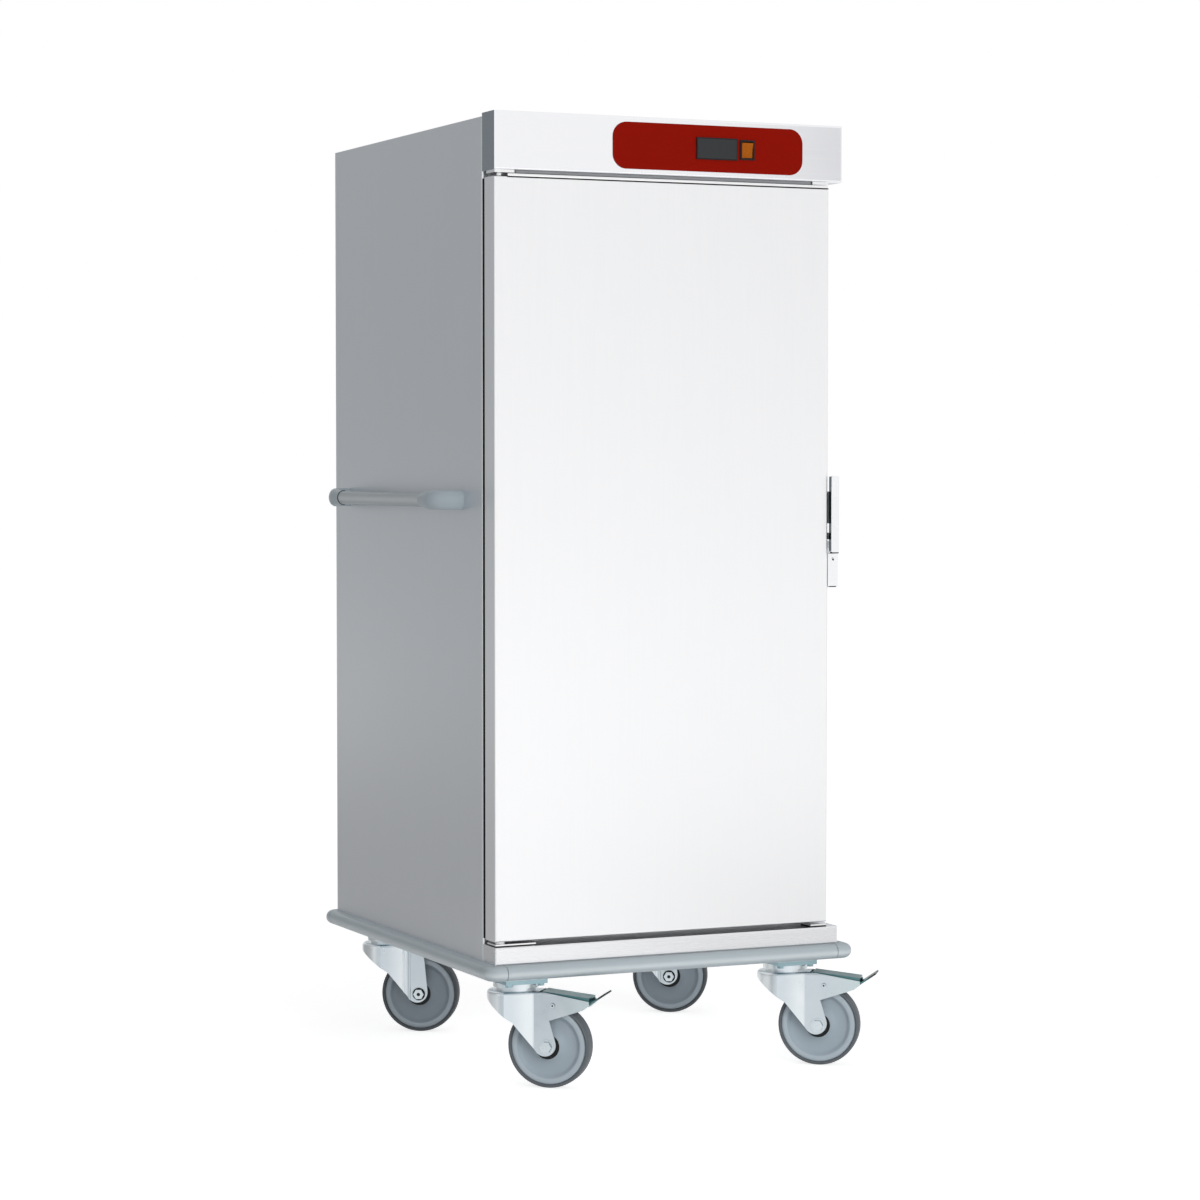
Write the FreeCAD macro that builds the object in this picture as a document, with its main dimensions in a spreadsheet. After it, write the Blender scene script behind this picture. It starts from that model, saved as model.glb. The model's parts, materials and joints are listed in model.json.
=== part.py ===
"""Heated holding cart: an insulated stainless cabinet for GN 2/1 pans on four swivel casters.

Millimetres. The origin is on the floor under the middle of the cabinet, +Z is up and the door
faces -Y. The hinges are on the -X side and the latch on the +X side.
"""
import FreeCAD, Part
import math
import os
from types import SimpleNamespace

import Sketcher
from FreeCAD import Placement, Rotation, Vector

SIZES = {
    # Cabinet, from the floor up
    "body_width": 730,
    "front_depth": 60,
    "cabinet_depth": 805,
    "sill_height": 35,
    "sill_inset": 5,
    "lower_gap": 10,
    "door_height": 1425,
    "upper_gap": 12,
    "header_height": 109,
    "header_rise": 6,
    # Sheet metal
    "skin_gauge": 1.2,
    "liner_gauge": 1,
    "front_gauge": 1.5,
    "bend_radius": 3.5,
    "seam": 0.3,
    "corner_wrap": 22,
    "front_return": 12,
    "roof_skirt": 20,
    # Insulated cavity
    "wall": 55,
    "floor_wall": 78,
    "cavity_drop": 22,
    "ceiling_wall": 35,
    "frame_bar": 8,
    # Cooling slots and cable gland of the back panel
    "vent_width": 130,
    "vent_slot": 6,
    "vent_pitch": 14,
    "vent_drop": 74,
    "vent_offset": 90,
    "gland_drop": 55,
    "gland_inset": 95,
    "gland_bore": 6,
    "gland_radius": 11,
    "gland_flange": 15,
    "gland_out": 16,
    "gland_in": 10,
    "gland_rim": 6,
    # Base frame and bumper
    "rail_height": 34,
    "tube_height": 28,
    "tube_width": 28,
    "tube_gauge": 2,
    "rail_width": 94,
    "rail_gap": 2,
    "rail_gauge": 3,
    "bumper_height": 28,
    "bumper_lift": 1,
    "bumper_reach": 24,
    "bumper_round": 13.5,
    "bumper_arm": 16,
    "bumper_seam": 1.2,
    "bumper_corner": 5,
    # Push handles
    "handle_rise": 869,
    "handle_front": 147,
    "handle_length": 652,
    "handle_offset": 45,
    "handle_tall": 27,
    "handle_thick": 24,
    "bracket_tall": 37,
    "bracket_thick": 27,
    "bracket_sleeve": 40,
    # Door, gasket and hinges
    "door_thickness": 48,
    "door_inset": 29,
    "inner_panel": 8,
    "inner_recess": 6,
    "inner_margin": 46,
    "gasket_width": 16,
    "gasket_round": 4,
    "gasket_left": 25,
    "gasket_right": 6,
    "gasket_bottom": 8,
    "gasket_top": 3,
    "seal_gap": 0.3,
    "hinge_inset": 20,
    "hinge_plate": 5,
    "hinge_depth": 40,
    "hinge_margin": 2,
    "upper_hinge": 42,
    "lower_hinge": 84,
    "blank_plate": 34,
    "pin_radius": 6,
    "pin_length": 18,
    "collar_radius": 10,
    "bush_radius": 9,
    "bush_length": 22,
    "bush_flange": 12,
    "flange_gauge": 1.5,
    "running_fit": 0.05,
    "clearance": 0.3,
    # Latch
    "latch_rise": 653,
    "latch_height": 65,
    "latch_width": 22,
    "latch_depth": 36,
    "latch_wall": 3.5,
    "latch_slot": 7.4,
    "latch_pin": 3,
    "latch_pivot_up": 50,
    "latch_pivot_in": 20,
    "latch_boss": 7,
    "neck_width": 6.6,
    "neck_half": 4,
    "neck_rise": 26,
    "neck_tall": 14,
    "lever_width": 16,
    "lever_height": 148,
    "lever_gap": 3,
    "lever_reach": 10,
    "lever_thick": 12,
    "lever_flare": 1,
    "lever_bend": 40,
    "lever_round": 2,
    "tongue_tall": 8,
    "keeper_width": 18,
    "keeper_tall": 44,
    "keeper_thick": 5.5,
    "latch_gap": 0.5,
    # Controls on the header
    "plate_width": 401,
    "plate_height": 88,
    "plate_inset": 88,
    "plate_corner": 28,
    "plate_gauge": 2,
    "meter_width": 87,
    "meter_height": 41.5,
    "meter_offset": 16,
    "meter_rim": 2.5,
    "meter_proud": 3,
    "meter_depth": 45,
    "meter_lip": 5,
    "glass_gauge": 1.2,
    "switch_width": 30.6,
    "switch_height": 38,
    "switch_offset": 80.8,
    "switch_proud": 2.5,
    "switch_depth": 22,
    "switch_lip": 2.2,
    "switch_wall": 1.2,
    "switch_back": 2,
    "rocker_pivot": 3,
    "rocker_play": 0.4,
    "rocker_top": 13.7,
    "rocker_proud": 6.5,
    "rocker_foot": 14.7,
    "rocker_sunk": 2.7,
    "rocker_ridge": 3.5,
    "rocker_back": 4,
    "rocker_back_half": 12,
    "trunnion": 2,
    # Pan racks
    "rack_front": 24,
    "rack_back": 28,
    "rack_head": 6,
    "post_width": 30,
    "post_depth": 40,
    "post_gauge": 2,
    "runner_first": 40,
    "runner_pitch": 72,
    "runner_lip": 22,
    "runner_tall": 22,
    "runner_gauge": 1.5,
    # Hot air unit under the ceiling
    "fan_back": 40,
    "port_radius": 62,
    "motor_flange": 78,
    "flange_thick": 3,
    "motor_radius": 44,
    "motor_height": 66,
    "shaft_radius": 6,
    "fan_radius": 80,
    "fan_height": 44,
    "fan_drop": 12,
    "fan_disc": 2,
    "fan_ring": 16,
    "fan_hub": 15,
    "hub_height": 30,
    "blade_gauge": 1.5,
    "blade_length": 30,
    "heater_radius": 105,
    "heater_rod": 4,
    "heater_drop": 34,
    "heater_foot": 9,
    "heater_foot_thick": 3,
    "baffle_drop": 74,
    "baffle_gauge": 1.5,
    "baffle_front": 60,
    "baffle_back": 60,
    "grille_inner": 24,
    "grille_outer": 72,
    "grille_narrow": 6,
    "grille_wide": 20,
    # Casters
    "crown_gap": 24,
    "caster_front": 82.5,
    "caster_rear": 102.5,
    "pad_width": 85,
    "pad_depth": 105,
    "pad_thick": 8.5,
    "bolt_across": 66,
    "bolt_along": 84,
    "bolt_radius": 4,
    "bolt_head": 7,
    "bolt_head_thick": 5,
    "kingpin_radius": 10,
    "kingpin_head": 17,
    "kingpin_nut": 6,
    "race_radius": 44,
    "race_height": 15.5,
    "neck_radius": 38,
    "neck_height": 6,
    "wheel_radius": 80,
    "tyre_width": 36,
    "tyre_thick": 8,
    "tyre_round": 5,
    "trail": 68,
    "crown_radius": 55,
    "crown_round": 6,
    "fork_gauge": 3,
    "fork_half": 27,
    "fork_crease": 43,
    "fork_shoulder": 8,
    "fork_nose": 12,
    "fork_knee_x": 6,
    "fork_knee_drop": 34,
    "leg_round": 22,
    "leg_shift": 4,
    "leg_top": 8,
    "bead_radius": 2.4,
    "bead_ahead": 6,
    "bead_behind": 5,
    "arm_corner_x": 73,
    "arm_corner_drop": 30,
    "arm_length": 151,
    "arm_toe": 12,
    "arm_toe_drop": 8,
    "arm_tip_low": 1,
    "arm_tip_high": 9,
    "arm_open": 52,
    "axle_radius": 6,
    "axle_head": 11,
    "axle_head_thick": 7,
    "hub_radius": 22,
    "hub_half": 23.5,
    "hub_flare": 8,
    "web_half": 7,
    "rim_half": 15,
    "rim_ring": 9,
    "rim_slope": 4,
    # Brake pedals
    "brake_x": 80,
    "brake_drop": 1,
    "brake_pin": 4,
    "brake_pin_head": 2,
    "pedal_half": 22.5,
    "pedal_gauge": 3,
    "pedal_start": 58,
    "pedal_high": 25,
    "pedal_bend": 150,
    "pedal_low": 15,
    "pedal_tip_x": 180.5,
    "pedal_tip_rise": 26,
    "pedal_ear": 9,
    "toe_start": 144,
    "toe_root": 1,
    "shoe_start": 96,
    "shoe_length": 12,
    "shoe_half": 12,
    "shoe_tall": 18.5,
}
# How far each caster is turned about its kingpin, in degrees
ANGLES = {
    "front_left_angle": -40,
    "front_right_angle": -36,
    "rear_left_angle": -31,
    "rear_right_angle": -31,
}
VENT_ROWS = 4
POSTS = 3
BLADES = 12
GRILLE_SLOTS = 12
FULL_TURN = 360
QUARTER_TURN = 90
# How far a cutting tool passes the face that it cuts, and a joined piece reaches into the other
BEYOND = 1


class Formula:
    """A number together with the spreadsheet formula that gives it."""

    def __init__(self, value, text):
        self.value = value
        self.text = text

    def join(self, sign, other, value):
        return Formula(value, f"({self.text} {sign} {other.text})")

    def __add__(self, other):
        other = as_formula(other)
        return self.join("+", other, self.value + other.value)

    def __sub__(self, other):
        other = as_formula(other)
        return self.join("-", other, self.value - other.value)

    def __mul__(self, other):
        other = as_formula(other)
        return self.join("*", other, self.value * other.value)

    def __truediv__(self, other):
        other = as_formula(other)
        return self.join("/", other, self.value / other.value)

    def __radd__(self, other):
        return as_formula(other) + self

    def __rsub__(self, other):
        return as_formula(other) - self

    def __rmul__(self, other):
        return as_formula(other) * self

    def __neg__(self):
        return -1 * self


def as_formula(item):
    return item if isinstance(item, Formula) else Formula(item, repr(item))


def cosine(angle):
    return Formula(math.cos(math.radians(angle.value)), f"cos({angle.text} * 1 deg)")


def sine(angle):
    return Formula(math.sin(math.radians(angle.value)), f"sin({angle.text} * 1 deg)")


def root(square):
    return Formula(math.sqrt(square.value), f"sqrt({square.text})")


ALL_VALUES = {**SIZES, **ANGLES}
size = SimpleNamespace(**{name: Formula(value, f"Sizes.{name}") for name, value in ALL_VALUES.items()})

# Places that several pieces share
right_face = size.body_width / 2
left_face = -right_face
back_face = (size.front_depth + size.cabinet_depth) / 2
front_face = -back_face
frame_face = front_face + size.front_depth
wheel_top = 2 * size.wheel_radius
crown_top = wheel_top + size.crown_gap
pad_low = crown_top + size.race_height
caster_height = pad_low + size.pad_thick
base_height = caster_height + size.rail_height
sill_top = base_height + size.sill_height
door_low = sill_top + size.lower_gap
door_high = door_low + size.door_height
header_low = door_high + size.upper_gap
header_top = header_low + size.header_height
roof = header_top - size.header_rise
door_right = right_face - size.door_inset
door_back = front_face + size.door_thickness
skin_half = right_face - size.skin_gauge
cavity_half = right_face - size.wall
cavity_low = base_height + size.floor_wall
cavity_high = door_high - size.cavity_drop
cavity_front = frame_face + size.frame_bar
cavity_back = back_face - size.wall
deck = cavity_high + size.ceiling_wall
wrap_start = back_face - size.corner_wrap
frame_top = roof - size.roof_skirt - size.seam
hinge_x = left_face + size.hinge_inset
hinge_y = front_face + size.door_thickness / 2
latch_x = door_right + size.latch_width / 2
latch_y = front_face + size.latch_pivot_in
latch_low = door_low + size.latch_rise
latch_z = latch_low + size.latch_pivot_up
lever_low = latch_low + size.latch_height + size.lever_gap
controls_z = header_low + size.header_height / 2
plate_face = front_face - size.plate_gauge
fan_y = (cavity_front + cavity_back) / 2 + size.fan_back
baffle_low = cavity_high - size.baffle_drop
rack_start = cavity_front + size.rack_front
rack_end = cavity_back - size.rack_back
rack_top = baffle_low - size.rack_head
runner_room = rack_top - cavity_low - size.runner_first - size.runner_tall
runner_levels = int(runner_room.value // SIZES["runner_pitch"]) + 1
handle_level = base_height + size.handle_rise
plate_x = right_face - size.plate_inset - size.plate_width / 2
meter_x = plate_x + size.meter_offset
switch_x = plate_x + size.switch_offset
caster_x = right_face - size.tube_width - size.rail_gap - size.rail_width / 2
brake_z = wheel_top - size.brake_drop
rim_radius = size.wheel_radius - size.tyre_thick

doc = FreeCAD.newDocument("heated_holding_cart")
nodes = {}


# Helpers


def fill_sheet():
    """Writes every size and angle to the spreadsheet under its own alias."""
    sheet = doc.addObject("Spreadsheet::Sheet", "Sizes")
    for row, (name, value) in enumerate(ALL_VALUES.items(), start=1):
        sheet.set(f"A{row}", name)
        sheet.set(f"B{row}", str(value))
        sheet.setAlias(f"B{row}", name)
    doc.recompute()


def bind(item, prop, value):
    item.setExpression(prop, as_formula(value).text)


def place(item, x=0, y=0, z=0, turn=None):
    for axis, value in (("x", x), ("y", y), ("z", z)):
        bind(item, f"Placement.Base.{axis}", value)
    if turn is not None:
        bind(item, "Placement.Rotation.Angle", turn)
    return item


def node(label, item):
    """Registers an object as a sub-part, whose label names its file."""
    item.Label = label
    nodes[label] = item
    return item


def group(label, items):
    """Several separate solids that share one node."""
    compound = doc.addObject("Part::Compound", label)
    compound.Links = items
    return node(label, compound)


def block(name, x, y, z):
    """A box between a low and a high place on each axis."""
    item = doc.addObject("Part::Box", name)
    for side, axis, (low, high) in (("Length", "x", x), ("Width", "y", y), ("Height", "z", z)):
        bind(item, side, as_formula(high) - low)
        bind(item, f"Placement.Base.{axis}", low)
    return item


def along(item, axis, low, high, centre):
    """Stands a cylinder or prism along an axis, through a point given on the other two axes."""
    bind(item, "Height", as_formula(high) - low)
    turns = {"x": Rotation(Vector(0, 1, 0), 90), "y": Rotation(Vector(1, 0, 0), -90), "z": Rotation()}
    item.Placement = Placement(Vector(), turns[axis])
    start = dict(zip([name for name in "xyz" if name != axis], centre))
    start[axis] = low
    for side, value in start.items():
        bind(item, f"Placement.Base.{side}", value)
    return item


def rod(name, axis, radius, low, high, centre):
    item = doc.addObject("Part::Cylinder", name)
    bind(item, "Radius", radius)
    return along(item, axis, low, high, centre)


def hexagon(name, axis, radius, low, high, centre):
    item = doc.addObject("Part::Prism", name)
    item.Polygon = 6
    bind(item, "Circumradius", radius)
    return along(item, axis, low, high, centre)


def cut(name, base, *tools):
    for number, tool in enumerate(tools, start=1):
        item = doc.addObject("Part::Cut", f"{name}_cut_{number}")
        item.Base = base
        item.Tool = tool
        base = item
    return base


def fuse(name, *items):
    item = doc.addObject("Part::MultiFuse", f"{name}_union")
    item.Shapes = list(items)
    item.Refine = True
    return item


def common(name, *items):
    item = doc.addObject("Part::MultiCommon", f"{name}_common")
    item.Shapes = list(items)
    return item


def new_sketch(name, plane, body=None):
    """An empty sketch on an origin plane of its body, which is made here if none is given."""
    body = body or doc.addObject("PartDesign::Body", f"{name}_body")
    sketch = body.newObject("Sketcher::SketchObject", f"{name}_sketch")
    origin = {item.Role: item for item in body.Origin.OriginFeatures}
    sketch.AttachmentSupport = (origin[plane], [""])
    sketch.MapMode = "FlatFace"
    return body, sketch


def tie(sketch, kind, side, end, value):
    """Ties an end or centre of a sketch line to a size, measured from the sketch's origin."""
    value = as_formula(value)
    number = sketch.addConstraint(Sketcher.Constraint(kind, -1, 1, side, end, value.value))
    bind(sketch, f"Constraints[{number}]", value)


def pin_corner(sketch, side, end, corner):
    tie(sketch, "DistanceX", side, end, corner[0])
    tie(sketch, "DistanceY", side, end, corner[1])


def spot(corner):
    return Vector(as_formula(corner[0]).value, as_formula(corner[1]).value, 0)


def draw(name, plane, corners, body=None):
    """A closed sketch of straight sides, each corner tied to its two sizes."""
    body, sketch = new_sketch(name, plane, body)
    count = len(corners)
    for side, corner in enumerate(corners):
        after = corners[(side + 1) % count]
        sketch.addGeometry(Part.LineSegment(spot(corner), spot(after)), False)
    for side in range(count):
        sketch.addConstraint(Sketcher.Constraint("Coincident", side, 2, (side + 1) % count, 1))
    for side, corner in enumerate(corners):
        pin_corner(sketch, side, 1, corner)
    return body, sketch


def box_corners(x, y):
    return [(x[0], y[0]), (x[1], y[0]), (x[1], y[1]), (x[0], y[1])]


def pad(body, sketch, length, reverse=False, middle=False):
    feature = body.newObject("PartDesign::Pad", f"{sketch.Name}_pad")
    feature.Profile = sketch
    bind(feature, "Length", length)
    feature.Reversed = reverse
    feature.Midplane = middle
    return feature


def extrude(name, plane, corners, low, high):
    """A body with a straight-sided profile, from low to high along the plane's normal."""
    body, sketch = draw(name, plane, corners)
    pad(body, sketch, as_formula(high) - low, reverse=plane == "XZ_Plane")
    normal = {"XY_Plane": "z", "XZ_Plane": "y", "YZ_Plane": "x"}[plane]
    bind(body, f"Placement.Base.{normal}", low)
    return body


def spin(name, corners):
    """A body turned about its own Y axis from a profile of radius and length along the axis."""
    body, sketch = draw(name, "XY_Plane", corners)
    feature = body.newObject("PartDesign::Revolution", f"{name}_turned")
    feature.Profile = sketch
    feature.ReferenceAxis = (sketch, ["V_Axis"])
    feature.Angle = FULL_TURN
    return body


def round_edges(body, radius, pick):
    """Fillets the edges of a body's last feature that pick chooses."""
    doc.recompute()
    base = body.Tip
    edges = [f"Edge{index}" for index, edge in enumerate(base.Shape.Edges, 1) if pick(edge)]
    feature = body.newObject("PartDesign::Fillet", f"{body.Name}_round")
    feature.Base = (base, edges)
    bind(feature, "Radius", radius)
    return body


def shell(body, gauge, pick):
    """Hollows a body to a sheet of one gauge, open at the faces that pick chooses."""
    doc.recompute()
    base = body.Tip
    faces = [f"Face{index}" for index, face in enumerate(base.Shape.Faces, 1) if pick(face)]
    feature = body.newObject("PartDesign::Thickness", f"{body.Name}_sheet")
    feature.Base = (base, faces)
    bind(feature, "Value", gauge)
    feature.Reversed = True
    return body


def runs(edge, axis):
    """Whether an edge is straight along one axis."""
    spans = {"x": edge.BoundBox.XLength, "y": edge.BoundBox.YLength, "z": edge.BoundBox.ZLength}
    return all(length < 0.01 for name, length in spans.items() if name != axis)


def at(shape, axis, value):
    """Whether a face or edge lies wholly at one place on an axis."""
    box = shape.BoundBox
    low, high = {"x": (box.XMin, box.XMax), "y": (box.YMin, box.YMax), "z": (box.ZMin, box.ZMax)}[axis]
    goal = as_formula(value).value
    return abs(low - goal) < 0.01 and abs(high - goal) < 0.01


# Cabinet shell


def side_panel(label, hand):
    """A side sheet with its front edge folded in, -1 for the left and 1 for the right."""
    outer = hand * right_face
    inner = hand * skin_half
    tuck = hand * (right_face - size.front_return)
    end = wrap_start - size.seam
    folded = frame_face + size.skin_gauge
    corners = [
        (outer, frame_face), (outer, end), (inner, end), (inner, folded), (tuck, folded), (tuck, frame_face),
    ]
    body = extrude(label, "XY_Plane", corners, base_height, roof - size.seam)
    front_bend = lambda e: runs(e, "z") and at(e, "x", outer) and at(e, "y", frame_face)
    round_edges(body, size.bend_radius, front_bend)
    inner_bend = size.bend_radius - size.skin_gauge
    round_edges(body, inner_bend, lambda e: runs(e, "z") and at(e, "x", inner) and at(e, "y", folded))
    node(label, body)


def back_panel():
    """The back sheet wraps round both rear corners and has cooling slots for the technical space."""
    inside = back_face - size.skin_gauge
    corners = [
        (left_face, wrap_start), (left_face, back_face), (right_face, back_face), (right_face, wrap_start),
        (skin_half, wrap_start), (skin_half, inside), (-skin_half, inside), (-skin_half, wrap_start),
    ]
    body = extrude("back_panel", "XY_Plane", corners, base_height, roof - size.seam)
    round_edges(body, size.bend_radius, lambda e: runs(e, "z") and at(e, "y", back_face))
    inner_bend = size.bend_radius - size.skin_gauge
    round_edges(body, inner_bend, lambda e: runs(e, "z") and at(e, "y", inside))
    holes = [rod("gland_hole", "y", size.gland_radius, inside - BEYOND, back_face + BEYOND, gland_centre())]
    for row in range(VENT_ROWS):
        for hand in (-1, 1):
            middle = hand * size.vent_offset
            low = roof - size.vent_drop + row * size.vent_pitch
            across = (middle - size.vent_width / 2, middle + size.vent_width / 2)
            through = (inside - BEYOND, back_face + BEYOND)
            holes.append(block("vent", across, through, (low, low + size.vent_slot)))
    node("back_panel", cut("back_panel", body, fuse("back_holes", *holes)))


def gland_centre():
    return (right_face - size.gland_inset, roof - size.gland_drop)


def cable_gland():
    """A bored gland through the back panel into the technical space."""
    centre = gland_centre()
    start = back_face - size.skin_gauge - size.gland_in
    end = back_face + size.gland_out
    barrel = rod("gland_barrel", "y", size.gland_radius, start, end, centre)
    flange = hexagon("gland_nut", "y", size.gland_flange, back_face, back_face + size.gland_rim, centre)
    bore = rod("gland_bore", "y", size.gland_bore, start - BEYOND, end + BEYOND, centre)
    node("cable_gland", cut("cable_gland", fuse("cable_gland", barrel, flange), bore))


def top_panel():
    """A shallow pan, open below, that drops in between the side and back sheets."""
    half = skin_half - size.seam
    depth = (frame_face + size.skin_gauge + size.seam, back_face - size.skin_gauge - size.seam)
    body = extrude("top_panel", "XY_Plane", box_corners((-half, half), depth), roof - size.roof_skirt, roof)
    round_edges(body, size.bend_radius, lambda e: runs(e, "z"))
    round_edges(body, size.bend_radius, lambda e: at(e, "z", size.roof_skirt))
    shell(body, size.skin_gauge, lambda f: at(f, "z", 0))
    node("top_panel", body)


def floor_pan():
    half = skin_half - size.seam
    depth = (cavity_front, back_face - size.bend_radius)
    node("floor_pan", block("floor_pan", (-half, half), depth, (base_height, base_height + size.skin_gauge)))


def front_frame():
    """Four bars round the opening part the cold outer sheets from the hot liner and take the gasket."""
    outer = right_face - size.front_return - size.seam
    depth = (frame_face, cavity_front)
    height = (base_height, frame_top)
    inner = (-cavity_half, cavity_half)
    bars = [
        block("frame_left", (-outer, -cavity_half), depth, height),
        block("frame_right", (cavity_half, outer), depth, height),
        block("frame_bottom", inner, depth, (base_height, cavity_low)),
        block("frame_top", inner, depth, (cavity_high, frame_top)),
    ]
    group("front_frame", bars)


def port(name, low, high):
    """The round way through the ceiling that the fan motor is plugged into."""
    return rod(name, "z", size.port_radius, low - BEYOND, high + BEYOND, (0, fan_y))


def inner_liner():
    """The hot inner walls, and the deck over the ceiling insulation that carries the motor."""
    out = cavity_half + size.liner_gauge
    depth = (cavity_front, cavity_back)
    height = (cavity_low, cavity_high)
    below = (cavity_low - size.liner_gauge, cavity_low)
    above = (cavity_high, cavity_high + size.liner_gauge)
    over = (deck, deck + size.liner_gauge)
    ceiling = block("liner_ceiling", (-out, out), depth, above)
    deck_half = skin_half - size.seam
    deck_depth = (cavity_front, back_face - size.bend_radius)
    deck_plate = block("liner_deck", (-deck_half, deck_half), deck_depth, over)
    walls = [
        block("liner_left", (-out, -cavity_half), depth, height),
        block("liner_right", (cavity_half, out), depth, height),
        block("liner_back", (-out, out), (cavity_back, cavity_back + size.liner_gauge), (below[0], above[1])),
        block("liner_floor", (-out, out), depth, below),
        cut("liner_ceiling", ceiling, port("ceiling_port", *above)),
        cut("liner_deck", deck_plate, port("deck_port", *over)),
    ]
    group("inner_liner", walls)


def insulation():
    """Mineral wool slabs between the outer sheets and the liner."""
    out = cavity_half + size.liner_gauge
    end = back_face - size.skin_gauge
    low = base_height + size.skin_gauge
    depth = (cavity_front, cavity_back + size.liner_gauge)
    height = (low, deck)
    upper = (cavity_high + size.liner_gauge, deck)
    ceiling = block("wool_ceiling", (-out, out), depth, upper)
    slabs = [
        block("wool_left", (-skin_half, -out), (cavity_front, back_face - size.bend_radius), height),
        block("wool_right", (out, skin_half), (cavity_front, back_face - size.bend_radius), height),
        block("wool_back", (-out, out), (depth[1], end), height),
        block("wool_floor", (-out, out), depth, (low, cavity_low - size.liner_gauge)),
        cut("wool_ceiling", ceiling, port("wool_port", *upper)),
    ]
    group("insulation", slabs)


# Header, controls and sill


def cutout(name, width, height, offset, depth):
    """A rectangular hole through the control plate and the header behind it."""
    across = (offset - width / 2, offset + width / 2)
    return block(name, across, depth, (controls_z - height / 2, controls_z + height / 2))


def control_cutouts(name, depth):
    """The holes that the controller and the switch are pushed through."""
    play = 2 * size.seam
    meter = (size.meter_width - 2 * size.meter_lip + play, size.meter_height - 2 * size.meter_lip + play)
    switch = (size.switch_width - 2 * size.switch_lip + play, size.switch_height - 2 * size.switch_lip + play)
    return fuse(
        name,
        cutout(f"{name}_meter", *meter, meter_x, depth),
        cutout(f"{name}_switch", *switch, switch_x, depth),
    )


def hood(label, x, z):
    """A folded front box with rounded edges, open at the back."""
    body = extrude(label, "XZ_Plane", box_corners(x, z), front_face, frame_face)
    round_edges(body, size.bend_radius, lambda e: at(e, "y", 0))
    shell(body, size.front_gauge, lambda f: at(f, "y", size.front_depth))
    return body


def header_fascia():
    body = hood("header_fascia", (left_face, right_face), (header_low, header_top))
    holes = control_cutouts("header_holes", (front_face - BEYOND, front_face + size.front_gauge + BEYOND))
    node("header_fascia", cut("header_fascia", body, holes))


def sill():
    node("sill", hood("sill", (left_face, right_face - size.sill_inset), (base_height, sill_top)))


def control_plate():
    """The coloured plate on the header, with large round corners."""
    across = (plate_x - size.plate_width / 2, plate_x + size.plate_width / 2)
    height = (controls_z - size.plate_height / 2, controls_z + size.plate_height / 2)
    body = extrude("control_plate", "XZ_Plane", box_corners(across, height), plate_face, front_face)
    round_edges(body, size.plate_corner, lambda e: runs(e, "y"))
    holes = control_cutouts("plate_holes", (plate_face - BEYOND, front_face + BEYOND))
    node("control_plate", cut("control_plate", body, holes))


def controller():
    """A panel controller: a rim on the plate, a body through it and a window let into the rim."""
    bezel_face = plate_face - size.meter_proud
    bezel = cutout("meter_bezel", size.meter_width, size.meter_height, meter_x, (bezel_face, plate_face))
    inner = (size.meter_width - 2 * size.meter_lip, size.meter_height - 2 * size.meter_lip)
    case = cutout("meter_case", *inner, meter_x, (plate_face, plate_face + size.meter_depth))
    glass = (size.meter_width - 2 * size.meter_rim, size.meter_height - 2 * size.meter_rim)
    seat = (bezel_face - BEYOND, bezel_face + size.glass_gauge)
    recess = cutout("meter_recess", *glass, meter_x, seat)
    node("controller", cut("controller", fuse("controller", bezel, case), recess))
    window = cutout("meter_window", *glass, meter_x, (bezel_face, bezel_face + size.glass_gauge))
    node("controller_window", window)


def switch():
    """A rocker switch: a rim and cup, and a rocker on two trunnions inside it."""
    rim_face = plate_face - size.switch_proud
    cup_end = plate_face + size.switch_depth
    outer = (size.switch_width - 2 * size.switch_lip, size.switch_height - 2 * size.switch_lip)
    inner = (outer[0] - 2 * size.switch_wall, outer[1] - 2 * size.switch_wall)
    rim = cutout("switch_rim", size.switch_width, size.switch_height, switch_x, (rim_face, plate_face))
    cup = cutout("switch_cup", *outer, switch_x, (plate_face, cup_end))
    hollow = cutout("switch_hollow", *inner, switch_x, (rim_face - BEYOND, cup_end - size.switch_back))
    pivot_y = plate_face + size.rocker_pivot
    reach = inner[0] / 2 + size.switch_wall / 2
    ends = (switch_x - reach, switch_x + reach)
    bearing = rod("switch_bearing", "x", size.trunnion + size.running_fit, *ends, (pivot_y, controls_z))
    node("switch_bezel", cut("switch_bezel", fuse("switch_bezel", rim, cup), hollow, bearing))
    corners = [
        (pivot_y - size.rocker_proud, controls_z + size.rocker_top),
        (pivot_y - size.rocker_ridge, controls_z),
        (pivot_y - size.rocker_sunk, controls_z - size.rocker_foot),
        (pivot_y + size.rocker_back, controls_z - size.rocker_back_half),
        (pivot_y + size.rocker_back, controls_z + size.rocker_back_half),
    ]
    half = inner[0] / 2 - size.rocker_play
    rocker = extrude("rocker_key", "YZ_Plane", corners, switch_x - half, switch_x + half)
    short = (ends[0] + size.clearance, ends[1] - size.clearance)
    axle = rod("rocker_axle", "x", size.trunnion, *short, (pivot_y, controls_z))
    node("switch_rocker", fuse("switch_rocker", rocker, axle))


# Base frame, bumper and push handles


def caster_spots():
    """Name, X, Y, turn and whether it has a brake, for the four casters."""
    return [
        ("front_left", -caster_x, front_face + size.caster_front, size.front_left_angle, True),
        ("front_right", caster_x, front_face + size.caster_front, size.front_right_angle, True),
        ("rear_left", -caster_x, back_face - size.caster_rear, size.rear_left_angle, False),
        ("rear_right", caster_x, back_face - size.caster_rear, size.rear_right_angle, False),
    ]


def bolt_spots(x, y):
    for hand in (-1, 1):
        for end in (-1, 1):
            yield (x + hand * size.bolt_across / 2, y + end * size.bolt_along / 2)


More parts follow.
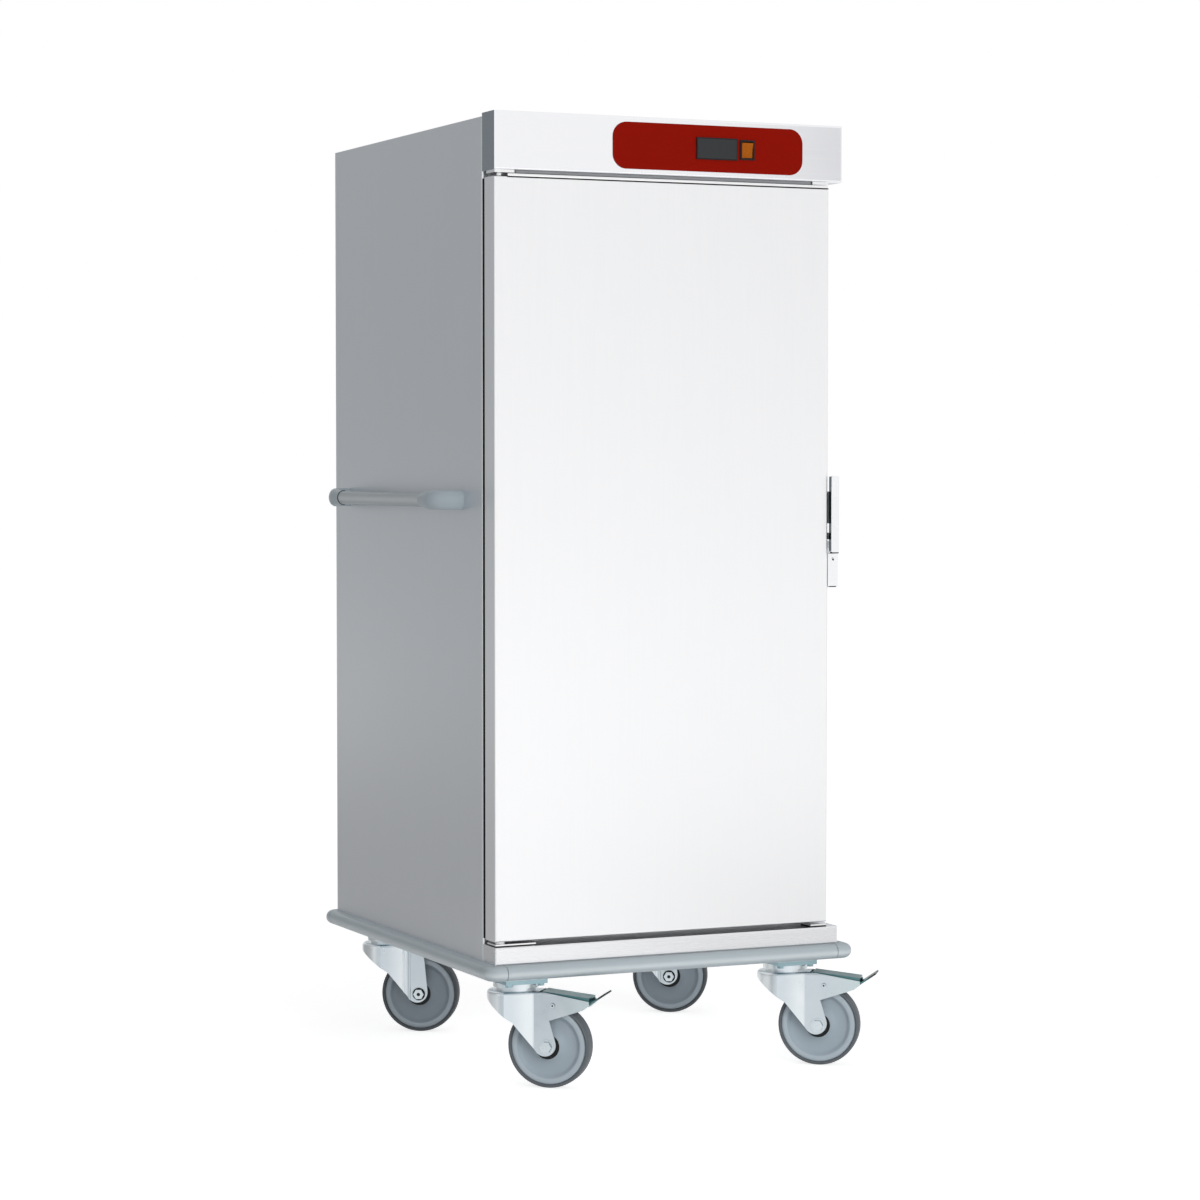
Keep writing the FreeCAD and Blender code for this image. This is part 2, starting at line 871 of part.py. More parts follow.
def square_tube(name, axis, x, y, z):
    """A tube with open ends along an axis."""
    gauge = size.tube_gauge
    bore = []
    for side, (low, high) in zip("xyz", (x, y, z)):
        inward = -BEYOND if side == axis else gauge
        bore.append((low + inward, high - inward))
    return cut(name, block(name, x, y, z), block(f"{name}_bore", *bore))


def base_frame():
    """Square tube round the edge, and two channel rails between that carry the casters."""
    tube = (base_height - size.tube_height, base_height)
    front = (front_face, front_face + size.tube_width)
    rear = (back_face - size.tube_width, back_face)
    between = (front[1], rear[0])
    members = [
        square_tube("tube_front", "x", (left_face, right_face), front, tube),
        square_tube("tube_rear", "x", (left_face, right_face), rear, tube),
        square_tube("tube_left", "y", (left_face, left_face + size.tube_width), between, tube),
        square_tube("tube_right", "y", (right_face - size.tube_width, right_face), between, tube),
    ]
    for hand, name in ((-1, "left"), (1, "right")):
        web = hand * (caster_x + size.rail_width / 2)
        edge = hand * (caster_x - size.rail_width / 2)
        inner = web - hand * size.rail_gauge
        low = caster_height
        high = base_height
        above = low + size.rail_gauge
        below = high - size.rail_gauge
        corners = [
            (web, low), (web, high), (edge, high), (edge, below),
            (inner, below), (inner, above), (edge, above), (edge, low),
        ]
        rail = extrude(f"rail_{name}", "XZ_Plane", corners, *between)
        holes = []
        for _, x, y, _, _ in caster_spots():
            if (x.value > 0) == (hand > 0):
                for centre in bolt_spots(x, y):
                    through = (low - BEYOND, above + BEYOND)
                    holes.append(rod("rail_hole", "z", size.bolt_radius, *through, centre))
        members.append(cut(f"rail_{name}", rail, fuse(f"rail_{name}_holes", *holes)))
    group("base_frame", members)


def bumper():
    """A half-round buffer profile along each side, with a moulded piece at each corner."""
    low = base_height + size.bumper_lift - size.bumper_height
    high = low + size.bumper_height
    out_x = right_face + size.bumper_reach
    out_y = back_face + size.bumper_reach
    ring = extrude("bumper_ring", "XY_Plane", box_corners((-out_x, out_x), (-out_y, out_y)), low, high)
    round_edges(ring, size.bumper_corner + size.bumper_reach, lambda e: runs(e, "z"))
    round_edges(ring, size.bumper_round, lambda e: at(e, "z", 0) or at(e, "z", size.bumper_height))
    tall = (low - BEYOND, high + BEYOND)
    body = block("bumper_core", (left_face, right_face), (front_face, back_face), tall)
    hollow = cut("bumper_ring", ring, body)
    seam_x = right_face - size.bumper_arm
    seam_y = back_face - size.bumper_arm
    rails = []
    corners = []
    for hand, name in ((-1, "low"), (1, "high")):
        wide = (-seam_x + size.bumper_seam, seam_x - size.bumper_seam)
        deep = (-seam_y + size.bumper_seam, seam_y - size.bumper_seam)
        beside_y = sorted((hand * back_face, hand * (out_y + BEYOND)), key=lambda place: place.value)
        beside_x = sorted((hand * right_face, hand * (out_x + BEYOND)), key=lambda place: place.value)
        end_part = block(f"bumper_end_{name}", wide, beside_y, tall)
        side_part = block(f"bumper_side_{name}", beside_x, deep, tall)
        rails.append(common(f"bumper_end_{name}", hollow, end_part))
        rails.append(common(f"bumper_side_{name}", hollow, side_part))
        for end in (-1, 1):
            span_x = sorted((hand * seam_x, hand * (out_x + BEYOND)), key=lambda place: place.value)
            span_y = sorted((end * seam_y, end * (out_y + BEYOND)), key=lambda place: place.value)
            box = block("bumper_corner_box", span_x, span_y, tall)
            corners.append(common("bumper_corner", hollow, box))
    group("bumper_rails", rails)
    group("bumper_corners", corners)


def oval(name, tall, thick, turn, centre):
    """An upright oval section across a handle."""
    item = doc.addObject("Part::Ellipse", name)
    bind(item, "MajorRadius", tall / 2)
    bind(item, "MinorRadius", thick / 2)
    item.Placement = Placement(Vector(), turn)
    for axis, value in zip("xyz", centre):
        bind(item, f"Placement.Base.{axis}", value)
    return item


def loft(name, first, last):
    item = doc.addObject("Part::Loft", name)
    item.Sections = [first, last]
    item.Solid = True
    item.Ruled = True
    return item


def push_handles():
    """An oval bar along each side between two elbows that swell towards the wall."""
    facing_wall = Rotation(Vector(0, 0, 1), Vector(0, -1, 0), Vector(1, 0, 0))
    facing_bar = Rotation(Vector(0, 0, 1), Vector(1, 0, 0), Vector(0, 1, 0))
    start = front_face + size.handle_front
    bars = []
    brackets = []
    for hand in (-1, 1):
        wall_x = hand * right_face
        bar_x = hand * (right_face + size.handle_offset)
        ends = []
        feet = ((1, start + size.bracket_tall / 2), (-1, start + size.handle_length - size.bracket_tall / 2))
        for end, foot_y in feet:
            bend_y = foot_y + end * size.handle_offset
            sleeve_y = bend_y + end * size.bracket_sleeve
            thick = (size.bracket_tall, size.bracket_thick)
            thin = (size.handle_tall, size.handle_thick)
            foot = oval("bracket_foot", *thick, facing_wall, (wall_x, foot_y, handle_level))
            elbow = doc.addObject("Part::Revolution", "bracket_elbow")
            elbow.Source = foot
            elbow.Axis = Vector(0, 0, 1)
            elbow.Solid = True
            elbow.Angle = QUARTER_TURN * hand * end
            bind(elbow, "Base.x", wall_x)
            bind(elbow, "Base.y", bend_y)
            sleeve_root = oval("sleeve_root", *thick, facing_bar, (bar_x, bend_y, handle_level))
            mouth = oval("sleeve_mouth", *thin, facing_bar, (bar_x, sleeve_y, handle_level))
            brackets.append(fuse("bracket", elbow, loft("bracket_sleeve", sleeve_root, mouth)))
            ends.append(sleeve_y)
        sections = []
        for end_y in ends:
            centre = (bar_x, end_y, handle_level)
            sections.append(oval("bar_end", size.handle_tall, size.handle_thick, facing_bar, centre))
        bars.append(loft("handle_bar", *sections))
    group("handle_bars", bars)
    group("handle_brackets", brackets)


# Door


def bush_hole(name, low, high):
    return rod(name, "z", size.bush_radius, low, high, (hinge_x, hinge_y))


def door_shell():
    """The folded outer pan of the door, its pressed inner panel and the foam core between them."""
    width = (left_face, door_right)
    height = (door_low, door_high)
    skin = extrude("door_skin", "XZ_Plane", box_corners(width, height), front_face, door_back)
    round_edges(skin, size.bend_radius, lambda e: at(e, "y", 0))
    shell(skin, size.front_gauge, lambda f: at(f, "y", size.door_thickness))
    upper = (door_high - size.bush_length, door_high + BEYOND)
    lower = (door_low - BEYOND, door_low + size.bush_length)
    holes = fuse("skin_holes", bush_hole("skin_hole_upper", *upper), bush_hole("skin_hole_lower", *lower))
    node("door_skin", cut("door_skin", skin, holes))
    inner_x = (left_face + size.front_gauge, door_right - size.front_gauge)
    inner_z = (door_low + size.front_gauge, door_high - size.front_gauge)
    panel_front = door_back - size.inner_panel
    panel = extrude("door_inner_panel", "XZ_Plane", box_corners(inner_x, inner_z), panel_front, door_back)
    field_x = (inner_x[0] + size.inner_margin, inner_x[1] - size.inner_margin)
    field_z = (inner_z[0] + size.inner_margin, inner_z[1] - size.inner_margin)
    field_floor = door_back - size.inner_recess
    field = extrude("door_field", "XZ_Plane", box_corners(field_x, field_z), field_floor, door_back + BEYOND)
    round_edges(field, size.inner_margin / 3, lambda e: runs(e, "y"))
    node("door_inner_panel", cut("door_inner_panel", panel, field))
    core_end = panel_front
    bend = size.bend_radius
    core_x = (inner_x[0] + bend, inner_x[1] - bend)
    core_z = (inner_z[0] + bend, inner_z[1] - bend)
    core = block("door_core", core_x, (front_face + size.front_gauge, core_end), core_z)
    upper_hole = bush_hole("core_hole_upper", *upper)
    core_holes = fuse("core_holes", upper_hole, bush_hole("core_hole_lower", *lower))
    node("door_core", cut("door_core", core, core_holes))


def door_gasket():
    """Four lengths of sealing strip, butted at the corners, with a rounded lip towards the frame."""
    left = left_face + size.gasket_left
    right = door_right - size.gasket_right
    low = door_low + size.gasket_bottom
    high = door_high - size.gasket_top
    depth = (door_back, frame_face - size.seal_gap)
    wide = size.gasket_width
    strips = {
        "gasket_left": ((left, left + wide), (low, high), "z"),
        "gasket_right": ((right - wide, right), (low, high), "z"),
        "gasket_bottom": ((left + wide, right - wide), (low, low + wide), "x"),
        "gasket_top": ((left + wide, right - wide), (high - wide, high), "x"),
    }
    lip = depth[1] - depth[0]
    made = []
    for name, (x, z, axis) in strips.items():
        strip = extrude(name, "XZ_Plane", box_corners(x, z), *depth)
        round_edges(strip, size.gasket_round, lambda e: runs(e, axis) and at(e, "y", lip))
        made.append(strip)
    group("door_gasket", made)


def hinges():
    """Pivot plates under the header and on the sill, with pins into bushes in the door's ends.

    The free side has blank plates, where the pivots go when the door is hung the other way round.
    """
    reach = (hinge_y - size.hinge_depth / 2, hinge_y + size.hinge_depth / 2)
    start = left_face + size.hinge_margin
    centre = (hinge_x, hinge_y)
    upper_low = header_low - size.hinge_plate
    lower_high = sill_top + size.hinge_plate
    upper = fuse(
        "upper_hinge",
        block("upper_hinge_plate", (start, left_face + size.upper_hinge), reach, (upper_low, header_low)),
        rod("upper_pin", "z", size.pin_radius, door_high - size.pin_length, upper_low, centre),
    )
    shoulder = door_low - size.flange_gauge - size.clearance
    lower = fuse(
        "lower_hinge",
        block("lower_hinge_plate", (start, left_face + size.lower_hinge), reach, (sill_top, lower_high)),
        rod("lower_collar", "z", size.collar_radius, lower_high, shoulder, centre),
        rod("lower_pin", "z", size.pin_radius, lower_high, door_low + size.pin_length, centre),
    )
    spare = (door_right - size.blank_plate, door_right)
    upper_blank = block("upper_blank", spare, reach, (upper_low, header_low))
    lower_blank = block("lower_blank", spare, reach, (sill_top, lower_high))
    group("hinge_plates", [upper, lower, upper_blank, lower_blank])
    bushes = []
    for name, end, inward in (("upper", door_high, -1), ("lower", door_low, 1)):
        deep = end + inward * size.bush_length
        proud = end - inward * size.flange_gauge
        low, high = (deep, proud) if inward < 0 else (proud, deep)
        flange_low, flange_high = (end, proud) if inward < 0 else (proud, end)
        sleeve = rod(f"{name}_sleeve", "z", size.bush_radius, low, high, centre)
        flange = rod(f"{name}_flange", "z", size.bush_flange, flange_low, flange_high, centre)
        loose = size.pin_radius + size.running_fit
        bore = rod(f"{name}_bore", "z", loose, low - BEYOND, high + BEYOND, centre)
        bushes.append(cut(f"{name}_bush", fuse(f"{name}_bush", sleeve, flange), bore))
    group("hinge_bushes", bushes)


def latch():
    """A lever on the door's free edge turns on a pin in its base and lifts a tongue off the keeper."""
    centre = (latch_y, latch_z)
    across = (door_right, door_right + size.latch_width)
    top = latch_low + size.latch_height
    back = front_face + size.latch_depth
    base = block("latch_block", across, (front_face, back), (latch_low, top))
    slot_x = (latch_x - size.latch_slot / 2, latch_x + size.latch_slot / 2)
    slot_floor = latch_z - size.latch_boss - size.clearance
    slot_y = (front_face + size.latch_wall, back + BEYOND)
    slot = block("latch_slot", slot_x, slot_y, (slot_floor, top + BEYOND))
    pin_ends = (door_right + size.latch_wall, across[1] - size.latch_wall)
    pin_hole = rod("latch_pin_hole", "x", size.latch_pin, *pin_ends, centre)
    node("latch_base", cut("latch_base", base, slot, pin_hole))
    node("latch_pin", rod("latch_pin", "x", size.latch_pin, *pin_ends, centre))

    lever_top = lever_low + size.lever_height
    front = front_face - size.lever_reach
    rear = front + size.lever_thick
    bend = lever_top - size.lever_bend
    grip_corners = [
        (front, lever_low), (front, bend), (front - size.lever_flare, lever_top),
        (rear - size.lever_flare - size.lever_thick / 3, lever_top), (rear, bend), (rear, lever_low),
    ]
    half = size.lever_width / 2
    grip = extrude("lever_grip", "YZ_Plane", grip_corners, latch_x - half, latch_x + half)
    round_edges(grip, size.lever_round, lambda e: at(e, "x", 0) or at(e, "x", size.lever_width))
    neck_low = latch_z + size.neck_rise
    neck_corners = [
        (rear - BEYOND, neck_low), (latch_y - size.neck_half, neck_low), (latch_y - size.neck_half, latch_z),
        (latch_y + size.neck_half, latch_z), (latch_y + size.neck_half, neck_low + size.neck_tall),
        (rear - BEYOND, neck_low + size.neck_tall),
    ]
    slim = (latch_x - size.neck_width / 2, latch_x + size.neck_width / 2)
    neck = extrude("lever_neck", "YZ_Plane", neck_corners, *slim)
    boss = rod("lever_boss", "x", size.latch_boss, *slim, centre)
    tongue_end = frame_face - size.keeper_thick - size.latch_gap
    tongue_z = (latch_z - size.tongue_tall / 2, latch_z + size.tongue_tall / 2)
    tongue = block("lever_tongue", slim, (latch_y, tongue_end), tongue_z)
    loose = size.latch_pin + size.running_fit
    bore = rod("lever_bore", "x", loose, slim[0] - BEYOND, slim[1] + BEYOND, centre)
    node("latch_lever", cut("latch_lever", fuse("latch_lever", grip, neck, boss, tongue), bore))

    keeper_x = (latch_x - size.keeper_width / 2, latch_x + size.keeper_width / 2)
    keeper_z = (latch_z - size.keeper_tall / 2, latch_z + size.keeper_tall / 2)
    keeper_face = frame_face - size.keeper_thick
    keeper = extrude("latch_keeper", "XZ_Plane", box_corners(keeper_x, keeper_z), keeper_face, frame_face)
    round_edges(keeper, size.keeper_thick / 2, lambda e: at(e, "y", 0))
    node("latch_keeper", keeper)


# Inside the cavity


def pan_rack(label, hand):
    """Channel posts against a side wall, and angle runners that the pans slide in on."""
    wall_x = hand * cavity_half
    web = hand * (cavity_half - size.post_depth)
    inner = web + hand * size.post_gauge
    pieces = []
    for number in range(POSTS):
        start = rack_start + number * (rack_end - rack_start - size.post_width) / (POSTS - 1)
        end = start + size.post_width
        corners = [
            (wall_x, start), (web, start), (web, end), (wall_x, end), (wall_x, end - size.post_gauge),
            (inner, end - size.post_gauge), (inner, start + size.post_gauge),
            (wall_x, start + size.post_gauge),
        ]
        pieces.append(extrude(f"{label}_post", "XY_Plane", corners, cavity_low, rack_top))
    face = web - hand * size.runner_gauge
    tip = face - hand * size.runner_lip
    for level in range(runner_levels):
        low = cavity_low + size.runner_first + level * size.runner_pitch
        high = low + size.runner_tall
        shelf = low + size.runner_gauge
        corners = [(web, low), (web, high), (face, high), (face, shelf), (tip, shelf), (tip, low)]
        pieces.append(extrude(f"{label}_runner", "XZ_Plane", corners, rack_start, rack_end))
    group(label, pieces)


def fan_motor():
    """A plug-in motor on the deck, with an insulating plug through the ceiling and a shaft below it."""
    centre = (0, fan_y)
    seat = deck + size.liner_gauge
    flange_top = seat + size.flange_thick
    shaft_low = cavity_high - size.fan_drop - size.hub_height
    parts = [
        rod("motor_plug", "z", size.port_radius - size.clearance, cavity_high, seat, centre),
        rod("motor_flange", "z", size.motor_flange, seat, flange_top, centre),
        rod("motor_can", "z", size.motor_radius, flange_top, flange_top + size.motor_height, centre),
        rod("motor_shaft", "z", size.shaft_radius, shaft_low, cavity_high, centre),
    ]
    node("fan_motor", fuse("fan_motor", *parts))


def fan_wheel():
    """A radial wheel: a disc with a hub, blades below it and a ring that ties their tips."""
    centre = (0, fan_y)
    top = cavity_high - size.fan_drop
    low = top - size.fan_height
    disc_low = top - size.fan_disc
    ring_outer = rod("fan_ring_outer", "z", size.fan_radius, low, low + size.fan_disc, centre)
    eye = size.fan_radius - size.fan_ring
    ring_inner = rod("fan_ring_inner", "z", eye, low - BEYOND, low + size.fan_disc + BEYOND, centre)
    parts = [
        rod("fan_disc", "z", size.fan_radius, disc_low, top, centre),
        rod("fan_hub", "z", size.fan_hub, top - size.hub_height, top, centre),
        cut("fan_ring", ring_outer, ring_inner),
    ]
    for number in range(BLADES):
        angle = as_formula(FULL_TURN * number / BLADES)
        root = size.fan_radius - size.blade_length
        blade = doc.addObject("Part::Box", "fan_blade")
        bind(blade, "Length", size.blade_length - size.blade_gauge)
        bind(blade, "Width", size.blade_gauge)
        bind(blade, "Height", size.fan_height - size.fan_disc)
        place(blade, root * cosine(angle), fan_y + root * sine(angle), low, angle)
        parts.append(blade)
    bore = rod("fan_bore", "z", size.shaft_radius + size.running_fit, low - BEYOND, top + BEYOND, centre)
    node("fan_wheel", cut("fan_wheel", fuse("fan_wheel", *parts), bore))


def heater_element():
    """A tubular ring round the fan on two legs from the ceiling."""
    level = cavity_high - size.heater_drop
    ring = doc.addObject("Part::Torus", "heater_ring")
    bind(ring, "Radius1", size.heater_radius)
    bind(ring, "Radius2", size.heater_rod)
    place(ring, 0, fan_y, level)
    parts = [ring]
    for hand in (-1, 1):
        centre = (hand * size.heater_radius, fan_y)
        parts.append(rod("heater_leg", "z", size.heater_rod, level, cavity_high, centre))
        foot_low = cavity_high - size.heater_foot_thick
        parts.append(rod("heater_foot", "z", size.heater_foot, foot_low, cavity_high, centre))
    node("heater_element", fuse("heater_element", *parts))


def air_baffle():
    """The plate under the fan, folded up to the ceiling in front, with a ring of intake slots."""
    low = baffle_low
    front = cavity_front + size.baffle_front
    back = cavity_back - size.baffle_back
    gauge = size.baffle_gauge
    corners = [
        (front, cavity_high), (front, low), (back, low), (back, low + gauge),
        (front + gauge, low + gauge), (front + gauge, cavity_high),
    ]
    half = cavity_half - size.clearance
    plate = extrude("air_baffle", "YZ_Plane", corners, -half, half)
    slots = []
    for number in range(GRILLE_SLOTS):
        corners = [
            (size.grille_inner, -size.grille_narrow / 2), (size.grille_outer, -size.grille_wide / 2),
            (size.grille_outer, size.grille_wide / 2), (size.grille_inner, size.grille_narrow / 2),
        ]
        slot = extrude("grille_slot", "XY_Plane", corners, low - BEYOND, low + gauge + BEYOND)
        bind(slot, "Placement.Base.y", fan_y)
        bind(slot, "Placement.Rotation.Angle", FULL_TURN * number / GRILLE_SLOTS)
        slots.append(slot)
    node("air_baffle", cut("air_baffle", plate, fuse("grille_slots", *slots)))


# Casters


def caster_mounts():
    """Each caster's top plate with its riveted kingpin, and the bolts that hold it to its rail."""
    plates = []
    bolts = []
    for name, x, y, _, _ in caster_spots():
        across = (x - size.pad_width / 2, x + size.pad_width / 2)
        deep = (y - size.pad_depth / 2, y + size.pad_depth / 2)
        nut_top = crown_top - size.fork_gauge - size.clearance
        nut_low = nut_top - size.kingpin_nut
        plate = fuse(
            f"{name}_plate",
            block(f"{name}_pad", across, deep, (pad_low, caster_height)),
            rod(f"{name}_kingpin", "z", size.kingpin_radius, nut_low, pad_low, (x, y)),
            rod(f"{name}_kingpin_nut", "z", size.kingpin_head, nut_low, nut_top, (x, y)),
        )
        holes = []
        for centre in bolt_spots(x, y):
            head = hexagon("bolt_head", "z", size.bolt_head, pad_low - size.bolt_head_thick, pad_low, centre)
            shank_top = caster_height + size.rail_gauge
            shank = rod("bolt_shank", "z", size.bolt_radius, pad_low, shank_top, centre)
            bolts.append(fuse("bolt", head, shank))
            through = (pad_low - BEYOND, caster_height + BEYOND)
            holes.append(rod("pad_hole", "z", size.bolt_radius, *through, centre))
        plates.append(cut(f"{name}_plate", plate, fuse(f"{name}_pad_holes", *holes)))
    group("caster_plates", plates)
    group("caster_bolts", bolts)


def fork_plan(name, rear):
    """The fork from above: a round crown that narrows at a crease to two parallel legs."""
    body, sketch = new_sketch(name, "XY_Plane")
    radius = size.crown_radius
    shoulder = size.fork_shoulder
    half = size.fork_half
    circle = Part.Circle(Vector(), Vector(0, 0, 1), radius.value)
    edge = math.acos(-shoulder.value / radius.value)
    sketch.addGeometry(Part.ArcOfCircle(circle, edge, 2 * math.pi - edge), False)
    low_end = Vector(-shoulder.value, -radius.value * math.sin(edge), 0)
    high_end = Vector(-shoulder.value, radius.value * math.sin(edge), 0)
    corners = [(size.fork_crease, -half), (rear, -half), (rear, half), (size.fork_crease, half)]
    path = [low_end] + [spot(corner) for corner in corners] + [high_end]
    for first, last in zip(path, path[1:]):
        sketch.addGeometry(Part.LineSegment(first, last), False)
    last_line = len(path) - 1
    sketch.addConstraint(Sketcher.Constraint("Coincident", 0, 3, -1, 1))
    sketch.addConstraint(Sketcher.Constraint("Coincident", 0, 2, 1, 1))
    for side in range(1, last_line):
        sketch.addConstraint(Sketcher.Constraint("Coincident", side, 2, side + 1, 1))
    sketch.addConstraint(Sketcher.Constraint("Coincident", last_line, 2, 0, 1))
    number = sketch.addConstraint(Sketcher.Constraint("Radius", 0, radius.value))
    bind(sketch, f"Constraints[{number}]", radius)
    for end in (1, 2):
        tie(sketch, "DistanceX", 0, end, -shoulder)
    for side, corner in enumerate(corners, start=2):
        pin_corner(sketch, side, 1, corner)
    return body, sketch


def fork_side(name, braked):
    """The fork from the side: a sloping front, a round leg end and, with a brake, two rear arms."""
    body, sketch = new_sketch(name, "XZ_Plane")
    front = -size.crown_radius - BEYOND
    top = crown_top + BEYOND
    leg_end = (size.trail - size.leg_shift, size.wheel_radius + size.leg_shift)
    knee = (size.fork_knee_x, wheel_top - size.fork_knee_drop)
    ahead = [(front, top), (front, crown_top - size.fork_nose), knee]
    behind = [(size.trail + size.leg_top, top)]
    if braked:
        behind = [
            (size.arm_corner_x, wheel_top - size.arm_corner_drop),
            (size.arm_length - size.arm_toe, wheel_top - size.arm_toe_drop),
            (size.arm_length, wheel_top + size.arm_tip_low),
            (size.arm_length, wheel_top + size.arm_tip_high),
            (size.arm_open, top),
        ]
    radius = size.leg_round.value
    centre = spot(leg_end)
    slope = spot(knee) - centre
    lean = spot(behind[0]) - centre
    start_angle = math.atan2(slope.y, slope.x) + math.acos(radius / slope.Length)
    end_angle = math.atan2(lean.y, lean.x) - math.acos(radius / lean.Length)
    circle = Part.Circle(centre, Vector(0, 0, 1), radius)
    start_angle -= 2 * math.pi
    touch = [centre + radius * Vector(math.cos(a), math.sin(a), 0) for a in (start_angle, end_angle)]
    down = [spot(corner) for corner in ahead] + [touch[0]]
    for first, last in zip(down, down[1:]):
        sketch.addGeometry(Part.LineSegment(first, last), False)
    arc = len(ahead)
    sketch.addGeometry(Part.ArcOfCircle(circle, start_angle, end_angle), False)
    path = [touch[1]] + [spot(corner) for corner in behind] + [spot(ahead[0])]
    for first, last in zip(path, path[1:]):
        sketch.addGeometry(Part.LineSegment(first, last), False)
    last_line = arc + len(path) - 1
    for side in range(arc - 1):
        sketch.addConstraint(Sketcher.Constraint("Coincident", side, 2, side + 1, 1))
    sketch.addConstraint(Sketcher.Constraint("Tangent", arc - 1, 2, arc, 1))
    sketch.addConstraint(Sketcher.Constraint("Tangent", arc, 2, arc + 1, 1))
    for side in range(arc + 1, last_line):
        sketch.addConstraint(Sketcher.Constraint("Coincident", side, 2, side + 1, 1))
    sketch.addConstraint(Sketcher.Constraint("Coincident", last_line, 2, 0, 1))
    pin_corner(sketch, arc, 3, leg_end)
    number = sketch.addConstraint(Sketcher.Constraint("Radius", arc, radius))
    bind(sketch, f"Constraints[{number}]", size.leg_round)
    for side, corner in enumerate(ahead):
        pin_corner(sketch, side, 1, corner)
    for side, corner in enumerate(behind, start=arc + 2):
        pin_corner(sketch, side, 1, corner)
    pad(body, sketch, 2 * size.crown_radius + 2, middle=True)
    return body


def fork_beads(name, low):
    """Two upright beads on each leg, either side of the crease, that stiffen a fork without arms."""
    edge = root(size.crown_radius * size.crown_radius - size.fork_shoulder * size.fork_shoulder)
    slope = (edge - size.fork_half) / (size.fork_crease + size.fork_shoulder)
    spots = [
        (size.fork_crease - size.bead_ahead, size.fork_half + size.bead_ahead * slope),
        (size.fork_crease + size.bead_behind, size.fork_half),
    ]
    beads = []
    for x, y in spots:
        for hand in (-1, 1):
            top = crown_top - size.crown_round
            beads.append(rod(f"{name}_bead", "z", size.bead_radius, low, top, (x, hand * y)))
    return beads


def fork(name, x, y, turn, braked):
    """A pressed fork with its ball race: a sheet cup cut to the side outline."""
    rear = size.arm_length + BEYOND if braked else size.trail + size.leg_round + BEYOND
    low = size.wheel_radius - size.leg_round - BEYOND
    body, sketch = fork_plan(f"{name}_cup", rear)
    pad(body, sketch, crown_top - low)
    bind(body, "Placement.Base.z", low)
    round_edges(body, size.crown_round, lambda e: at(e, "z", crown_top - low) and not at(e, "x", rear))
    shell(body, size.fork_gauge, lambda f: at(f, "z", 0) or at(f, "x", rear))
    pressing = body
    if not braked:
        pressing = fuse(f"{name}_pressing", body, *fork_beads(name, low))
    cup = common(f"{name}_fork", pressing, fork_side(f"{name}_side", braked))
    race_top = pad_low - size.clearance
    neck = rod(f"{name}_neck", "z", size.neck_radius, crown_top - BEYOND, race_top, (0, 0))
    race = rod(f"{name}_race", "z", size.race_radius, crown_top + size.neck_height, race_top, (0, 0))
    pin_bore = size.kingpin_radius + size.running_fit
    wide = size.fork_half + BEYOND
    holes = [
        rod(f"{name}_king_bore", "z", pin_bore, crown_top - 2 * size.fork_gauge, pad_low, (0, 0)),
        rod(f"{name}_axle_hole", "y", size.axle_radius, -wide, wide, (size.trail, size.wheel_radius)),
    ]
    if braked:
        between = size.fork_half - size.fork_gauge
        sky = (crown_top - 2 * size.fork_gauge, crown_top + BEYOND)
        holes.append(block(f"{name}_arm_gap", (size.arm_open, rear), (-between, between), sky))
        brake_bore = size.brake_pin + size.running_fit
        holes.append(rod(f"{name}_brake_hole", "y", brake_bore, -wide, wide, (size.brake_x, brake_z)))
    made = cut(f"{name}_fork", fuse(f"{name}_fork", cup, neck, race), *holes)
    node(f"{name}_fork", place(made, x, y, 0, turn))


def axle(name, x, y, turn):
    """The bolt that the wheel turns on, with its head outside one leg and its nut outside the other."""
    centre = (size.trail, size.wheel_radius)
    out = size.fork_half
    bolt = fuse(
        f"{name}_axle",
        rod(f"{name}_axle_shank", "y", size.axle_radius, -out, out, centre),
        hexagon(f"{name}_axle_head", "y", size.axle_head, -out - size.axle_head_thick, -out, centre),
        hexagon(f"{name}_axle_nut", "y", size.axle_head, out, out + size.axle_head_thick, centre),
    )
    node(f"{name}_axle", place(bolt, x, y, 0, turn))


def wheel(name, x, y, turn):
    """A moulded rim with a hub, a thin web and a raised ring, and a solid tyre round it."""
    centre = (x + size.trail * cosine(turn), y + size.trail * sine(turn), size.wheel_radius, turn)
    bore = size.axle_radius + size.running_fit
    ring = rim_radius - size.rim_ring
    hub = size.hub_radius
    side = [
        (bore, size.hub_half), (hub, size.hub_half), (hub + size.hub_flare, size.web_half),
        (ring - size.rim_slope, size.web_half), (ring, size.rim_half), (rim_radius, size.rim_half),
    ]
    profile = side + [(radius, -along_axle) for radius, along_axle in reversed(side)]
    node(f"{name}_rim", place(spin(f"{name}_rim", profile), *centre))
    half = size.tyre_width / 2
    tyre = spin(f"{name}_tyre", box_corners((rim_radius, size.wheel_radius), (-half, half)))
    across = wheel_top.value
    tread_edge = lambda e: abs(e.BoundBox.XLength - across) < 0.1 and (at(e, "y", half) or at(e, "y", -half))
    round_edges(tyre, size.tyre_round, tread_edge)
    node(f"{name}_tyre", place(tyre, *centre))


